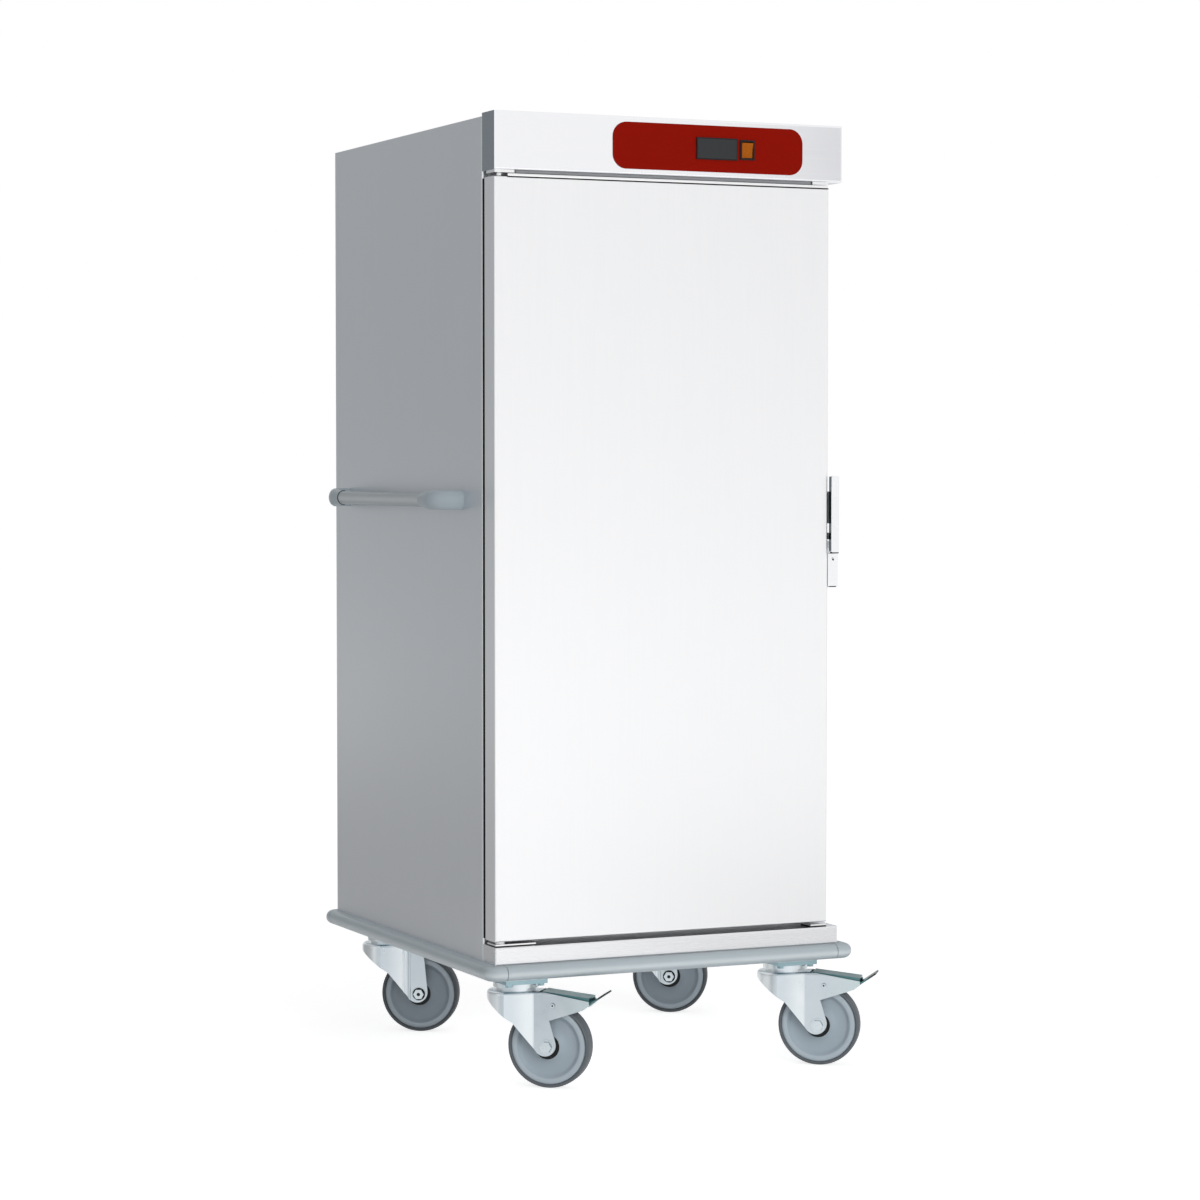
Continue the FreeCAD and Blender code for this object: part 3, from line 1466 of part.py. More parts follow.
def brake_pedal(name, x, y, turn):
    """A pedal on two stub pins in the fork's arms, with a toe plate and a shoe above the tyre."""
    gauge = size.pedal_gauge
    high = wheel_top + size.pedal_high
    dip = wheel_top + size.pedal_low
    tip = (size.pedal_tip_x, wheel_top + size.pedal_tip_rise)
    root_z = wheel_top + size.toe_root
    tread = [
        (size.pedal_start, high), (size.pedal_start, high - gauge),
        (size.pedal_bend, dip - gauge), (size.pedal_bend, dip),
    ]
    toe = [
        (size.toe_start, root_z), (size.toe_start + gauge / 2, root_z - gauge),
        (tip[0] + gauge / 2, tip[1] - gauge), tip,
    ]
    half = size.pedal_half
    parts = [
        extrude(f"{name}_tread", "XZ_Plane", tread, -half, half),
        extrude(f"{name}_toe", "XZ_Plane", toe, -half, half),
    ]
    ear = [
        (size.pedal_start, high - gauge / 2), (size.brake_x - size.pedal_ear, brake_z),
        (size.brake_x + size.pedal_ear, brake_z), (size.toe_start + gauge / 2, root_z - gauge),
        (size.pedal_bend, root_z + gauge), (size.pedal_bend, dip - gauge / 2),
    ]
    pin = (size.brake_x, brake_z)
    reach = size.fork_half + size.brake_pin_head
    for hand in (-1, 1):
        inside = hand * (half - gauge)
        thick = sorted((inside, hand * half), key=lambda place: place.value)
        stub = sorted((inside, hand * reach), key=lambda place: place.value)
        parts.append(extrude(f"{name}_ear", "XZ_Plane", ear, *thick))
        parts.append(rod(f"{name}_ear_eye", "y", size.pedal_ear, *thick, pin))
        parts.append(rod(f"{name}_brake_pin", "y", size.brake_pin, *stub, pin))
    shoe = (size.shoe_start, size.shoe_start + size.shoe_length)
    tall = (wheel_top, wheel_top + size.shoe_tall)
    parts.append(block(f"{name}_shoe", shoe, (-size.shoe_half, size.shoe_half), tall))
    node(f"{name}_pedal", place(fuse(f"{name}_pedal", *parts), x, y, 0, turn))


def casters():
    caster_mounts()
    for name, x, y, turn, braked in caster_spots():
        fork(name, x, y, turn, braked)
        axle(name, x, y, turn)
        wheel(name, x, y, turn)
        if braked:
            brake_pedal(name, x, y, turn)


def write_parts():
    """Checks every object and sub-part, then writes one file for each node."""
    doc.recompute()
    failed = [item.Name for item in doc.Objects if {"Invalid", "Error"} & set(item.State)]
    for label, item in nodes.items():
        if item.Shape.isNull() or not item.Shape.isValid() or not item.Shape.Solids:
            failed.append(label)
    if failed:
        raise RuntimeError(f"these did not build: {failed}")
    os.makedirs("parts", exist_ok=True)
    for label, item in nodes.items():
        item.Shape.exportStep(f"parts/{label}.step")
        print(f"{label}: {len(item.Shape.Solids)} solids, {item.Shape.Volume / 1000:.1f} cm3")


fill_sheet()
side_panel("side_panel_left", -1)
side_panel("side_panel_right", 1)
back_panel()
cable_gland()
top_panel()
floor_pan()
front_frame()
inner_liner()
insulation()
header_fascia()
control_plate()
controller()
switch()
sill()
base_frame()
bumper()
push_handles()
door_shell()
door_gasket()
hinges()
latch()
pan_rack("pan_rack_left", -1)
pan_rack("pan_rack_right", 1)
fan_motor()
fan_wheel()
heater_element()
air_baffle()
casters()
write_parts()
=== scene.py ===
# %% [markdown]
# # A heated holding cart
# The cart is an insulated steel cabinet on casters that keeps trays of food hot. Its shape comes from the
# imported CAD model, which is loaded here as a fixed frame. This notebook gives every piece the surface of the
# real material and models what a lathe, a mould or a screwdriver leaves behind and a CAD solid leaves out.

# %% Load the frame
import json
import math

import bmesh
import bpy
from mathutils import Matrix, Vector


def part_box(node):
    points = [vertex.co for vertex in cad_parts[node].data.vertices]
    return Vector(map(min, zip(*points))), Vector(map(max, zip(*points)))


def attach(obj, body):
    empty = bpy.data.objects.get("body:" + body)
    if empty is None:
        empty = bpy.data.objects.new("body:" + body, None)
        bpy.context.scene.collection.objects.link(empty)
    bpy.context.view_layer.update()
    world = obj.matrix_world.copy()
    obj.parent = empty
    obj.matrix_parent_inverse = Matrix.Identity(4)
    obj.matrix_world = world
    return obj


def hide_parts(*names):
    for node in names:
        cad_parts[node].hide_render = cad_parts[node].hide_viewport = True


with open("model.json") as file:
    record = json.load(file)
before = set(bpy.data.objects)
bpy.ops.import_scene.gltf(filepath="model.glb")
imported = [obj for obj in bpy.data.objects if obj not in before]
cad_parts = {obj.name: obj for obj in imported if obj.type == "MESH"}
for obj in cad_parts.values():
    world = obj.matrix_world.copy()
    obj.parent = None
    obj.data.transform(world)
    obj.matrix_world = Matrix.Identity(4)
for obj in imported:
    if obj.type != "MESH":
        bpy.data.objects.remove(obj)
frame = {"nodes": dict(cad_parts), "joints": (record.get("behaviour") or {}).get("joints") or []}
nodes = frame["nodes"]
joints = {joint["name"]: joint for joint in frame["joints"]}
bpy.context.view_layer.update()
MM = 0.001

# %% [markdown]
# ## Colours and shader nodes
# Colours are written as the sRGB hex values that a picture editor shows, while shaders work in linear light,
# so one function converts them. A second small function adds any shader node: its settings are plain values,
# and a value that is another node's output becomes a link. With these two, a material reads as a short
# recipe. A Mix node has its own sockets for each kind of data, so the ones for colours are told apart by
# number.

# %% Helpers for materials
SRGB_KNEE = 0.04045
SRGB_SLOPE = 12.92
SRGB_OFFSET = 0.055
SRGB_POWER = 2.4
BYTE = 255
MIX_FACTOR = 0
MIX_FIRST = 6
MIX_SECOND = 7
MIX_RESULT = 2


def linear(hex_colour):
    """An sRGB hex colour as a linear colour with full alpha."""
    colour = []
    for start in (1, 3, 5):
        part = int(hex_colour[start:start + 2], 16) / BYTE
        curved = ((part + SRGB_OFFSET) / (1 + SRGB_OFFSET)) ** SRGB_POWER
        colour.append(part / SRGB_SLOPE if part <= SRGB_KNEE else curved)
    return [*colour, 1.0]


def add(tree, kind, sockets=None, **settings):
    """Adds a shader node with its settings, its socket values and its links."""
    item = tree.nodes.new(kind)
    for name, value in settings.items():
        setattr(item, name, value)
    for name, value in (sockets or {}).items():
        if isinstance(value, bpy.types.NodeSocket):
            tree.links.new(value, item.inputs[name])
        else:
            item.inputs[name].default_value = value
    return item


def new_material(name, **sockets):
    """A material with a Principled shader whose plain values are given by socket name."""
    made = bpy.data.materials.new(name)
    made.use_nodes = True
    shader = made.node_tree.nodes["Principled BSDF"]
    for socket, value in sockets.items():
        shader.inputs[socket.replace("_", " ").title().replace("Ior", "IOR")].default_value = value
    return made, made.node_tree, shader


print("mid grey in linear light:", round(linear("#808080")[0], 3))

# %% [markdown]
# ## Surfaces that vary
# No real surface has one colour and one gloss. A noise of a real size in millimetres shifts the tone a
# little, makes some patches duller than others and adds a faint relief. A stretched noise gives a grain that
# runs one way. Most finishes need nothing more, so a second function makes a whole material of it.

# %% One recipe for an uneven surface
NOISE_DETAIL = 4.0
NOISE_LOW = 0.3
NOISE_HIGH = 0.7
RELIEF_SHARE = 0.1
EVEN = (1, 1, 1)


def wear(tree, shader, tones, rough, size, bump, stretch=EVEN):
    """Breaks up a surface with noise of a size in mm and returns the socket that carries its colour."""
    place = add(tree, "ShaderNodeTexCoord")
    scale = [1 / (size * MM * side) for side in stretch]
    mapped = add(tree, "ShaderNodeMapping", {"Vector": place.outputs["Object"], "Scale": scale})
    pattern = {"Vector": mapped.outputs["Vector"], "Scale": 1.0, "Detail": NOISE_DETAIL}
    grain = add(tree, "ShaderNodeTexNoise", pattern).outputs["Fac"]
    mix = {MIX_FACTOR: grain, MIX_FIRST: linear(tones[0]), MIX_SECOND: linear(tones[1])}
    colour = add(tree, "ShaderNodeMix", mix, data_type="RGBA").outputs[MIX_RESULT]
    tree.links.new(colour, shader.inputs["Base Color"])
    smooth, dull = rough
    span = {"Value": grain, "From Min": NOISE_LOW, "From Max": NOISE_HIGH, "To Min": smooth, "To Max": dull}
    dullness = add(tree, "ShaderNodeMapRange", span)
    tree.links.new(dullness.outputs["Result"], shader.inputs["Roughness"])
    relief = {"Height": grain, "Strength": bump, "Distance": size * MM * RELIEF_SHARE}
    bumps = add(tree, "ShaderNodeBump", relief)
    tree.links.new(bumps.outputs["Normal"], shader.inputs["Normal"])
    return colour


def surface(name, tones, rough, size, bump, stretch=EVEN, **sockets):
    """A material that is one uneven surface all over."""
    made, tree, shader = new_material(name, **sockets)
    wear(tree, shader, tones, rough, size, bump, stretch)
    return made


print("relief is", RELIEF_SHARE, "of a pattern's size")

# %% [markdown]
# ## Brushed stainless steel
# The outer sheets are AISI 304 with a satin finish, made by a belt that leaves fine parallel scratches along
# the sheet. The scratches are a few hundredths of a millimetre wide and far below a pixel here, so the noise
# is drawn 1.5 mm wide and stretched along the grain, just coarse enough to show as a soft streak. The grain
# runs upright on the sides and the door, and along the cart on the header, the sill and the roof. The same
# steel comes in copies of different brightness: the door is a brighter copy, as painted light, and the sides
# are a darker, slightly duller copy, as painted shade. The inside is bright annealed sheet, which is glossier
# and only has the faint lines of rolling.

# %% Stainless finishes
GRAIN_LENGTH = 120
UPRIGHT = (1, 1, GRAIN_LENGTH)
LENGTHWISE = (GRAIN_LENGTH, 1, 1)
GRAIN = {"size": 1.5, "bump": 0.03}
UPRIGHT_STEEL = {**GRAIN, "stretch": UPRIGHT, "metallic": 1.0}
LENGTHWISE_STEEL = {**GRAIN, "stretch": LENGTHWISE, "metallic": 1.0}
# The door copy of the steel is painted light and the side copy is painted shade.
satin_door_painted_light = surface("stainless_satin_door", ("#EEEFF0", "#F4F4F5"), (0.30, 0.38), **UPRIGHT_STEEL)
satin_side_painted_shade = surface("stainless_satin_side", ("#DBDDE0", "#E6E8EA"), (0.30, 0.42), **UPRIGHT_STEEL)
satin_along = surface("stainless_satin_along", ("#E4E5E7", "#EBEBED"), (0.22, 0.30), **LENGTHWISE_STEEL)
bright_inner = surface("stainless_bright_annealed", ("#D6D7D6", "#E0E0DE"), (0.16, 0.24), **UPRIGHT_STEEL)
print("stainless finishes:", satin_door_painted_light.name, satin_side_painted_shade.name, satin_along.name, bright_inner.name)

# %% [markdown]
# ## The header
# The header is a folded box whose front was brushed after folding. Its front is a brighter copy of the satin
# steel, as painted light, and its two end cheeks are painted darker and bluer than the front, as painted
# shade. Both faces belong to one solid, and the cheeks are the only part of it that lies right at its ends, so
# a mask on the distance from the middle tells them apart.

# %% Header finish with painted shade on the cheeks
CHEEK_FROM = 364.6
CHEEK_PAINTED_SHADE_TONE = "#9DA4A9"
satin_header, tree, shader = new_material("stainless_satin_header", metallic=1.0)
front_painted_light_tone = wear(tree, shader, ("#F1F2F5", "#F6F6F8"), (0.17, 0.19), stretch=LENGTHWISE, **GRAIN)
place = add(tree, "ShaderNodeTexCoord")
parts = add(tree, "ShaderNodeSeparateXYZ", {"Vector": place.outputs["Object"]})
from_middle = add(tree, "ShaderNodeMath", {0: parts.outputs["X"]}, operation="ABSOLUTE")
reach = {0: from_middle.outputs[0], 1: CHEEK_FROM * MM}
cheek = add(tree, "ShaderNodeMath", reach, operation="GREATER_THAN")
# The cheeks get a darker tone here, as painted shade.
mix = {MIX_FACTOR: cheek.outputs[0], MIX_FIRST: front_painted_light_tone, MIX_SECOND: linear(CHEEK_PAINTED_SHADE_TONE)}
two_tones = add(tree, "ShaderNodeMix", mix, data_type="RGBA")
tree.links.new(two_tones.outputs[MIX_RESULT], shader.inputs["Base Color"])
print("header cheeks start", CHEEK_FROM, "mm from the middle")

# %% [markdown]
# ## Plated, cast and painted metal
# The casters are pressed from mild steel and zinc plated with a blue passivation, which gives a bright skin
# with a cold tint and soft cloudy patches some 30 mm across. The latch is a die casting with a satin chrome
# finish, and the fan motor has a plain cast shell with a sandy grain. The heater is a nickel alloy tube that
# its own heat has turned a dull bronze. The plate on the header is a sheet painted deep red with a dull
# lacquer.

# %% Metal finishes
CLOUD = {"size": 30, "bump": 0.02}
CLOUDED_METAL = {**CLOUD, "metallic": 1.0}
CHROMED = {"size": 6, "bump": 0.02, "metallic": 1.0}
SCALED = {"size": 12, "bump": 0.08, "metallic": 1.0}
SAND_CAST = {"size": 2, "bump": 0.15, "metallic": 1.0}
LACQUERED = {"size": 3, "bump": 0.03, "specular_ior_level": 0.05}
zinc = surface("zinc_plate_blue_passivated", ("#C6D0D5", "#D6DEE2"), (0.26, 0.36), **CLOUDED_METAL)
plate_zinc = surface("zinc_plate_dull_blue", ("#8EABB3", "#A8C1C8"), (0.30, 0.42), **CLOUDED_METAL)
latch_chrome = surface("die_cast_satin_chrome", ("#EDEFF1", "#F4F5F6"), (0.20, 0.28), **CHROMED)
heater_alloy = surface("heater_sheath_heat_tinted", ("#5A5048", "#7D7165"), (0.40, 0.55), **SCALED)
motor_alloy = surface("cast_aluminium_motor", ("#8E9093", "#A5A7A9"), (0.45, 0.60), **SAND_CAST)
red_paint = surface("deep_red_dull_lacquer", ("#8A0E00", "#900F01"), (0.42, 0.50), **LACQUERED)
print("metal finishes:", zinc.name, plate_zinc.name, latch_chrome.name, red_paint.name)

# %% [markdown]
# ## Pressed forks and pedals
# A fork is pressed from one sheet. Its tones are painted light: a painted highlight on the nose and in a band
# just before the crease between crown and leg, and a darker flat leg as painted reflection. A brake pedal
# carries a thicker passivation that turns to a dark blue green, and shoes have scuffed its tip almost black.
# Both patterns follow the fork's own direction, so a Mapping node turns them about each kingpin, and a ramp
# along the fork sets the tone. The tones are listed with their distance from the kingpin in millimetres.

# %% Fork and pedal finishes
CASTERS = ("front_left", "front_right", "rear_left", "rear_right")
BRAKED = CASTERS[:2]
UNBRAKED = CASTERS[2:]
# The fork tones are painted highlight and painted reflection along the fork.
FORK_PAINTED_LIGHT_TONES = [
    (-60, "#F0F3F5"), (-22, "#F4F7F8"), (-15, "#D6DEE3"), (6, "#DAE1E6"), (30, "#EBF0F3"),
    (40, "#EBF0F3"), (44, "#CDD5DA"), (85, "#CBD3D8"), (160, "#CCD8D9"),
]
PEDAL_TONES = [(50, "#466A6D"), (110, "#547A7D"), (160, "#5E8386"), (170, "#454B4D"), (210, "#3A3F41")]


def zinc_along_fork(name, caster, tones):
    """Zinc plate on a piece of one caster, with a tone for each distance in mm along its fork."""
    made, tree, shader = new_material(f"{name}_{caster}", metallic=1.0)
    cloud = wear(tree, shader, ("#EDF1F2", "#FFFFFF"), (0.26, 0.36), **CLOUD)
    axis = joints[f"{caster}_roll"]["axis"]
    turn = math.atan2(-axis[0], axis[1])
    place = add(tree, "ShaderNodeTexCoord")
    kingpin = joints[f"{caster}_swivel"]["pos_m"]
    own = {"Vector": place.outputs["Object"], "Location": kingpin, "Rotation": (0, 0, turn)}
    along = add(tree, "ShaderNodeMapping", own, vector_type="TEXTURE")
    parts = add(tree, "ShaderNodeSeparateXYZ", {"Vector": along.outputs["Vector"]})
    start = tones[0][0]
    end = tones[-1][0]
    span = {"Value": parts.outputs["X"], "From Min": start * MM, "From Max": end * MM}
    share = add(tree, "ShaderNodeMapRange", span)
    ramp = add(tree, "ShaderNodeValToRGB", {"Fac": share.outputs["Result"]})
    steps = ramp.color_ramp.elements
    steps.remove(steps[0])
    for number, (distance, tone) in enumerate(tones):
        position = (distance - start) / (end - start)
        step = steps[0] if number == 0 else steps.new(position)
        step.position = position
        step.color = linear(tone)
    both = {MIX_FACTOR: 1.0, MIX_FIRST: ramp.outputs["Color"], MIX_SECOND: cloud}
    tinted = add(tree, "ShaderNodeMix", both, data_type="RGBA", blend_type="MULTIPLY")
    tree.links.new(tinted.outputs[MIX_RESULT], shader.inputs["Base Color"])
    return made


fork_zinc_painted_light = {caster: zinc_along_fork("zinc_plate_painted_highlight", caster, FORK_PAINTED_LIGHT_TONES) for caster in CASTERS}
pedal_zinc = {
    caster: zinc_along_fork("zinc_plate_green_passivated", caster, PEDAL_TONES) for caster in BRAKED
}
print("fork finishes:", len(fork_zinc_painted_light), "pedal finishes:", len(pedal_zinc))

# %% [markdown]
# ## Plastics and rubber
# The handle bars and their brackets are glass-filled nylon in a light blue grey, with the fine spark-eroded
# grain of their moulds. The wheel discs are polypropylene in a cooler grey with a bead painted paler as
# painted highlight, and the tyres are grey thermoplastic rubber that leaves no marks. The rear wheels are
# darker copies of the same plastics and rubber, as painted shade. The gasket is black EPDM rubber. Out of
# sight, the walls hold mineral wool and the door a rigid foam.

# %% Plastic and rubber finishes
MOULD_GRAIN = 0.8
MOULD_RELIEF = 0.12
NYLON = {"ior": 1.53}
PVC = {"ior": 1.53}
POLYPROPYLENE = {"ior": 1.49}
RUBBER = {"bump": 0.2, "ior": 1.5}
DULL_BLACK = {"specular_ior_level": 0.25}
MATT_BLACK = {"specular_ior_level": 0.3}
WOOL = {"bump": 0.6, "size": 4}
FOAM = {"bump": 0.3, "size": 2}
LENS = {"bump": 0.02, "size": 4, "specular_ior_level": 0.1}
WINDOW = {"bump": 0.01, "size": 10, "ior": 1.49}


def moulded(name, tones, rough, size=MOULD_GRAIN, bump=MOULD_RELIEF, **sockets):
    """A plastic or rubber with the grain of its mould, unless another size and relief are given."""
    return surface(name, tones, rough, size, bump, **sockets)


bracket_nylon = moulded("glass_filled_nylon_blue_grey", ("#ADBAC2", "#B8C5CC"), (0.38, 0.48), **NYLON)
wheel_plastic = moulded("polypropylene_grey", ("#A4B2BC", "#AFBCC5"), (0.36, 0.46), **POLYPROPYLENE)
# The paler bead plastic is a painted highlight.
bead_painted_highlight = moulded("polypropylene_painted_highlight_grey", ("#B4C1CA", "#BFCBD3"), (0.26, 0.34), **POLYPROPYLENE)
tyre_rubber = moulded("thermoplastic_rubber_grey", ("#5A6065", "#676D72"), (0.55, 0.68), **RUBBER)
# The three darker copies below are painted shade for the rear wheels.
shaded_plastic_painted = moulded("polypropylene_painted_shade_grey", ("#87939C", "#929DA5"), (0.40, 0.52), **POLYPROPYLENE)
shaded_bead_painted = moulded(
    "polypropylene_painted_highlight_and_shade_grey", ("#A0ACB4", "#ABB6BD"), (0.30, 0.40), **POLYPROPYLENE
)
shaded_rubber_painted = moulded("thermoplastic_rubber_painted_shade_grey", ("#44494D", "#505559"), (0.58, 0.70), **RUBBER)
gap_shade_pvc = moulded("extruded_pvc_mid_grey", ("#86888B", "#909295"), (0.42, 0.52), **PVC)
# This dark grey is for the latch lever's liner, which is painted shade.
shade_liner_rubber = moulded("thermoplastic_rubber_dark_grey", ("#6C747A", "#7A8288"), (0.50, 0.60), **RUBBER)
gasket_rubber = moulded("epdm_rubber_black", ("#0E0E0F", "#171718"), (0.55, 0.65), **MATT_BLACK)
black_nylon = moulded("nylon_black", ("#0C0D0E", "#131415"), (0.42, 0.52), **DULL_BLACK)
frame_pvc = moulded("thermal_break_pvc_light_grey", ("#D2D4D6", "#DCDEE0"), (0.42, 0.52), **PVC)
meter_abs = moulded("abs_dark_grey", ("#101214", "#16191B"), (0.40, 0.50), **DULL_BLACK)
mineral_wool = moulded("mineral_wool", ("#9A8A55", "#B9A870"), (0.85, 0.95), **WOOL)
rigid_foam = moulded("rigid_polyurethane_foam", ("#D8C890", "#E6D9A8"), (0.80, 0.90), **FOAM)
amber_lens = moulded("amber_polycarbonate", ("#A05006", "#B4640E"), (0.22, 0.30), **LENS)
smoked_window = moulded("smoked_acrylic_window", ("#121619", "#191E21"), (0.10, 0.16), **WINDOW)
print("plastics:", bracket_nylon.name, wheel_plastic.name, tyre_rubber.name)

# %% [markdown]
# ## Plastics with a painted highlight
# The bumper and the handle bars get a paler band about the middle of their section, a painted highlight where
# the light falls along their round faces. The band is a soft mask on the height above the floor, with its
# level and half its width in millimetres.

# %% Finishes with a painted highlight band
BANDED_GLOSS = (0.36, 0.46)


def highlight_banded(name, tones, highlight_tone, level, half):
    """A moulded plastic with a paler band at one level above the floor, a painted highlight."""
    made, tree, shader = new_material(name, **PVC)
    skin_tone = wear(tree, shader, tones, BANDED_GLOSS, MOULD_GRAIN, MOULD_RELIEF)
    place = add(tree, "ShaderNodeTexCoord")
    parts = add(tree, "ShaderNodeSeparateXYZ", {"Vector": place.outputs["Object"]})
    above = add(tree, "ShaderNodeMath", {0: parts.outputs["Z"], 1: level * MM}, operation="SUBTRACT")
    from_band = add(tree, "ShaderNodeMath", {0: above.outputs[0]}, operation="ABSOLUTE")
    fade = {"Value": from_band.outputs[0], "From Min": half * MM, "From Max": 0.0}
    share = add(tree, "ShaderNodeMapRange", fade, interpolation_type="SMOOTHSTEP")
    mix = {MIX_FACTOR: share.outputs["Result"], MIX_FIRST: skin_tone, MIX_SECOND: linear(highlight_tone)}
    highlighted = add(tree, "ShaderNodeMix", mix, data_type="RGBA")
    tree.links.new(highlighted.outputs[MIX_RESULT], shader.inputs["Base Color"])
    return made


# The paler band on the bumper and the handle is a painted highlight.
bumper_pvc = highlight_banded("extruded_pvc_blue_grey", ("#B2BEC4", "#BCC8CE"), "#D4DDE1", level=227, half=8)
handle_nylon = highlight_banded("glass_filled_nylon_grey", ("#98A1A8", "#A2ABB1"), "#D4DADE", level=1110, half=13)
print("rubbed plastics:", bumper_pvc.name, handle_nylon.name)

# %% [markdown]
# ## Dressing the CAD nodes
# Every CAD node keeps its exact shape and only changes its surface, so a table of finish to nodes is enough.

# %% Assign the finishes
finishes = [
    (satin_door_painted_light, ["door_skin", "door_inner_panel", "latch_keeper", "hinge_plates"]),
    (satin_side_painted_shade, ["side_panel_left", "side_panel_right", "back_panel"]),
    (satin_header, ["header_fascia"]),
    (satin_along, ["sill", "top_panel", "floor_pan", "base_frame"]),
    (bright_inner, ["inner_liner", "pan_rack_left", "pan_rack_right"]),
    (bright_inner, ["air_baffle", "fan_wheel", "latch_pin"]),
    (plate_zinc, ["caster_plates", "caster_bolts"]),
    *[(fork_zinc_painted_light[name], [f"{name}_fork"]) for name in CASTERS],
    (zinc, [f"{name}_axle" for name in CASTERS]),
    *[(pedal_zinc[name], [f"{name}_pedal"]) for name in BRAKED],
    (wheel_plastic, [f"{name}_rim" for name in BRAKED]),
    (tyre_rubber, [f"{name}_tyre" for name in BRAKED]),
    (shaded_plastic_painted, [f"{name}_rim" for name in UNBRAKED]),
    (shaded_rubber_painted, [f"{name}_tyre" for name in UNBRAKED]),
    (latch_chrome, ["latch_base", "latch_lever"]),
    (heater_alloy, ["heater_element"]),
    (motor_alloy, ["fan_motor"]),
    (red_paint, ["control_plate"]),
    (bumper_pvc, ["bumper_rails", "bumper_corners"]),
    (handle_nylon, ["handle_bars"]),
    (bracket_nylon, ["handle_brackets"]),
    (gasket_rubber, ["door_gasket"]),
    (black_nylon, ["switch_bezel", "cable_gland", "hinge_bushes"]),
    (frame_pvc, ["front_frame"]),
    (meter_abs, ["controller"]),
    (smoked_window, ["controller_window"]),
    (amber_lens, ["switch_rocker"]),
    (mineral_wool, ["insulation"]),
    (rigid_foam, ["door_core"]),
]
for finish, names in finishes:
    for name in names:
        nodes[name].data.materials.clear()
        nodes[name].data.materials.append(finish)
dressed = {name for _, names in finishes for name in names}
print("nodes without a finish:", sorted(set(nodes) - dressed))

# %% [markdown]
# ## New pieces
# A piece may be made of several shapes, such as a pair of washers, and it rides on one CAD body. Its place
# goes into its vertices, so that the object itself stays at the origin as the CAD nodes do. Edges sharper
# than a set angle stay crisp and all others are shaded smooth. Trim that was cut from strip is a block whose
# edges have a small bevel, because a perfectly sharp edge never catches the light.

# %% Helpers for new pieces
SHARP_DEGREES = 32
BEVEL_STEPS = 2


def finish_piece(name, shapes, material, body):
    """Joins bmeshes into one smooth shaded piece that rides on a body."""
    whole = bmesh.new()
    mesh = bpy.data.meshes.new(name)
    for shape in shapes:
        bmesh.ops.recalc_face_normals(shape, faces=shape.faces)
        shape.to_mesh(mesh)
        shape.free()
        whole.from_mesh(mesh)
    whole.to_mesh(mesh)
    whole.free()
    mesh.shade_smooth()
    mesh.set_sharp_from_angle(angle=math.radians(SHARP_DEGREES))
    mesh.materials.append(material)
    piece = bpy.data.objects.new(name, mesh)
    bpy.context.scene.collection.objects.link(piece)
    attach(piece, body)
    return piece


def slab(low, high, soften):
    """A block between two corners in mm whose edges are softened by a bevel."""
    sides = [(end - start) * MM for start, end in zip(low, high)]
    middle = [(end + start) / 2 * MM for start, end in zip(low, high)]
    shape = bmesh.new()
    bmesh.ops.create_cube(shape, size=1)
    bmesh.ops.scale(shape, vec=sides, verts=shape.verts)
    bmesh.ops.translate(shape, vec=middle, verts=shape.verts)
    edges = shape.edges[:]
    bmesh.ops.bevel(
        shape, geom=edges, offset=soften * MM, affect="EDGES", segments=BEVEL_STEPS, profile=0.5, material=-1
    )
    return shape


print("edges stay crisp above", SHARP_DEGREES, "degrees")

# %% [markdown]
# ## Turned pieces
# Wheels, tyres, washers and screw heads are round about one axis, so each is a half section turned with spin,
# as on a lathe. The section stands in the XZ plane of its own little world and a matrix carries the finished
# mesh to its axle. A section that starts on the axis is left open there, because the turn itself closes it.

# %% Helpers for turned pieces
TURN_STEPS = 96
MERGE = 0.01


def lathe(section, place, steps=TURN_STEPS):
    """A section of (radius, height) pairs in mm, turned about its own Z axis and carried to its place."""
    shape = bmesh.new()
    ring = [shape.verts.new((radius * MM, 0, height * MM)) for radius, height in section]
    last = [] if section[0][0] == 0 else ring[:1]
    edges = [shape.edges.new(pair) for pair in zip(ring, ring[1:] + last)]
    bmesh.ops.spin(
        shape, geom=ring + edges, cent=(0, 0, 0), axis=(0, 0, 1), angle=math.tau, steps=steps, use_merge=True
    )
    bmesh.ops.remove_doubles(shape, verts=shape.verts, dist=MERGE * MM)
    bmesh.ops.transform(shape, matrix=place, verts=shape.verts)
    return shape


def standing(axis, at):
    """A matrix that carries the Z axis of a turned piece to an axis through a point."""
    turn = Vector((0, 0, 1)).rotation_difference(Vector(axis))
    return Matrix.Translation(Vector(at)) @ turn.to_matrix().to_4x4()


def both_ends(joint):
    """The two matrices that look out along a joint's axis and against it."""
    axis = Vector(joint["axis"])
    return [standing(axis, joint["pos_m"]), standing(-axis, joint["pos_m"])]


print("a wheel is turned in", TURN_STEPS, "steps")

# %% [markdown]
# ## Wheels
# A real caster wheel is moulded in one go: a hub with a bearing seat, a dished web and a rim with a raised
# bead, and a softer tyre is moulded over the rim's edge. The CAD solid has these forms with straight flanks.
# Here the same section gets a coned hub and the small radii that catch the light, within the same outer size.
# A thin paler skin over each bead is a painted highlight, and the rear wheels take darker copies of all three
# materials as painted shade. A black thrust washer stands between each hub face and the fork leg and shows as
# a dark crescent around the leg's round end.

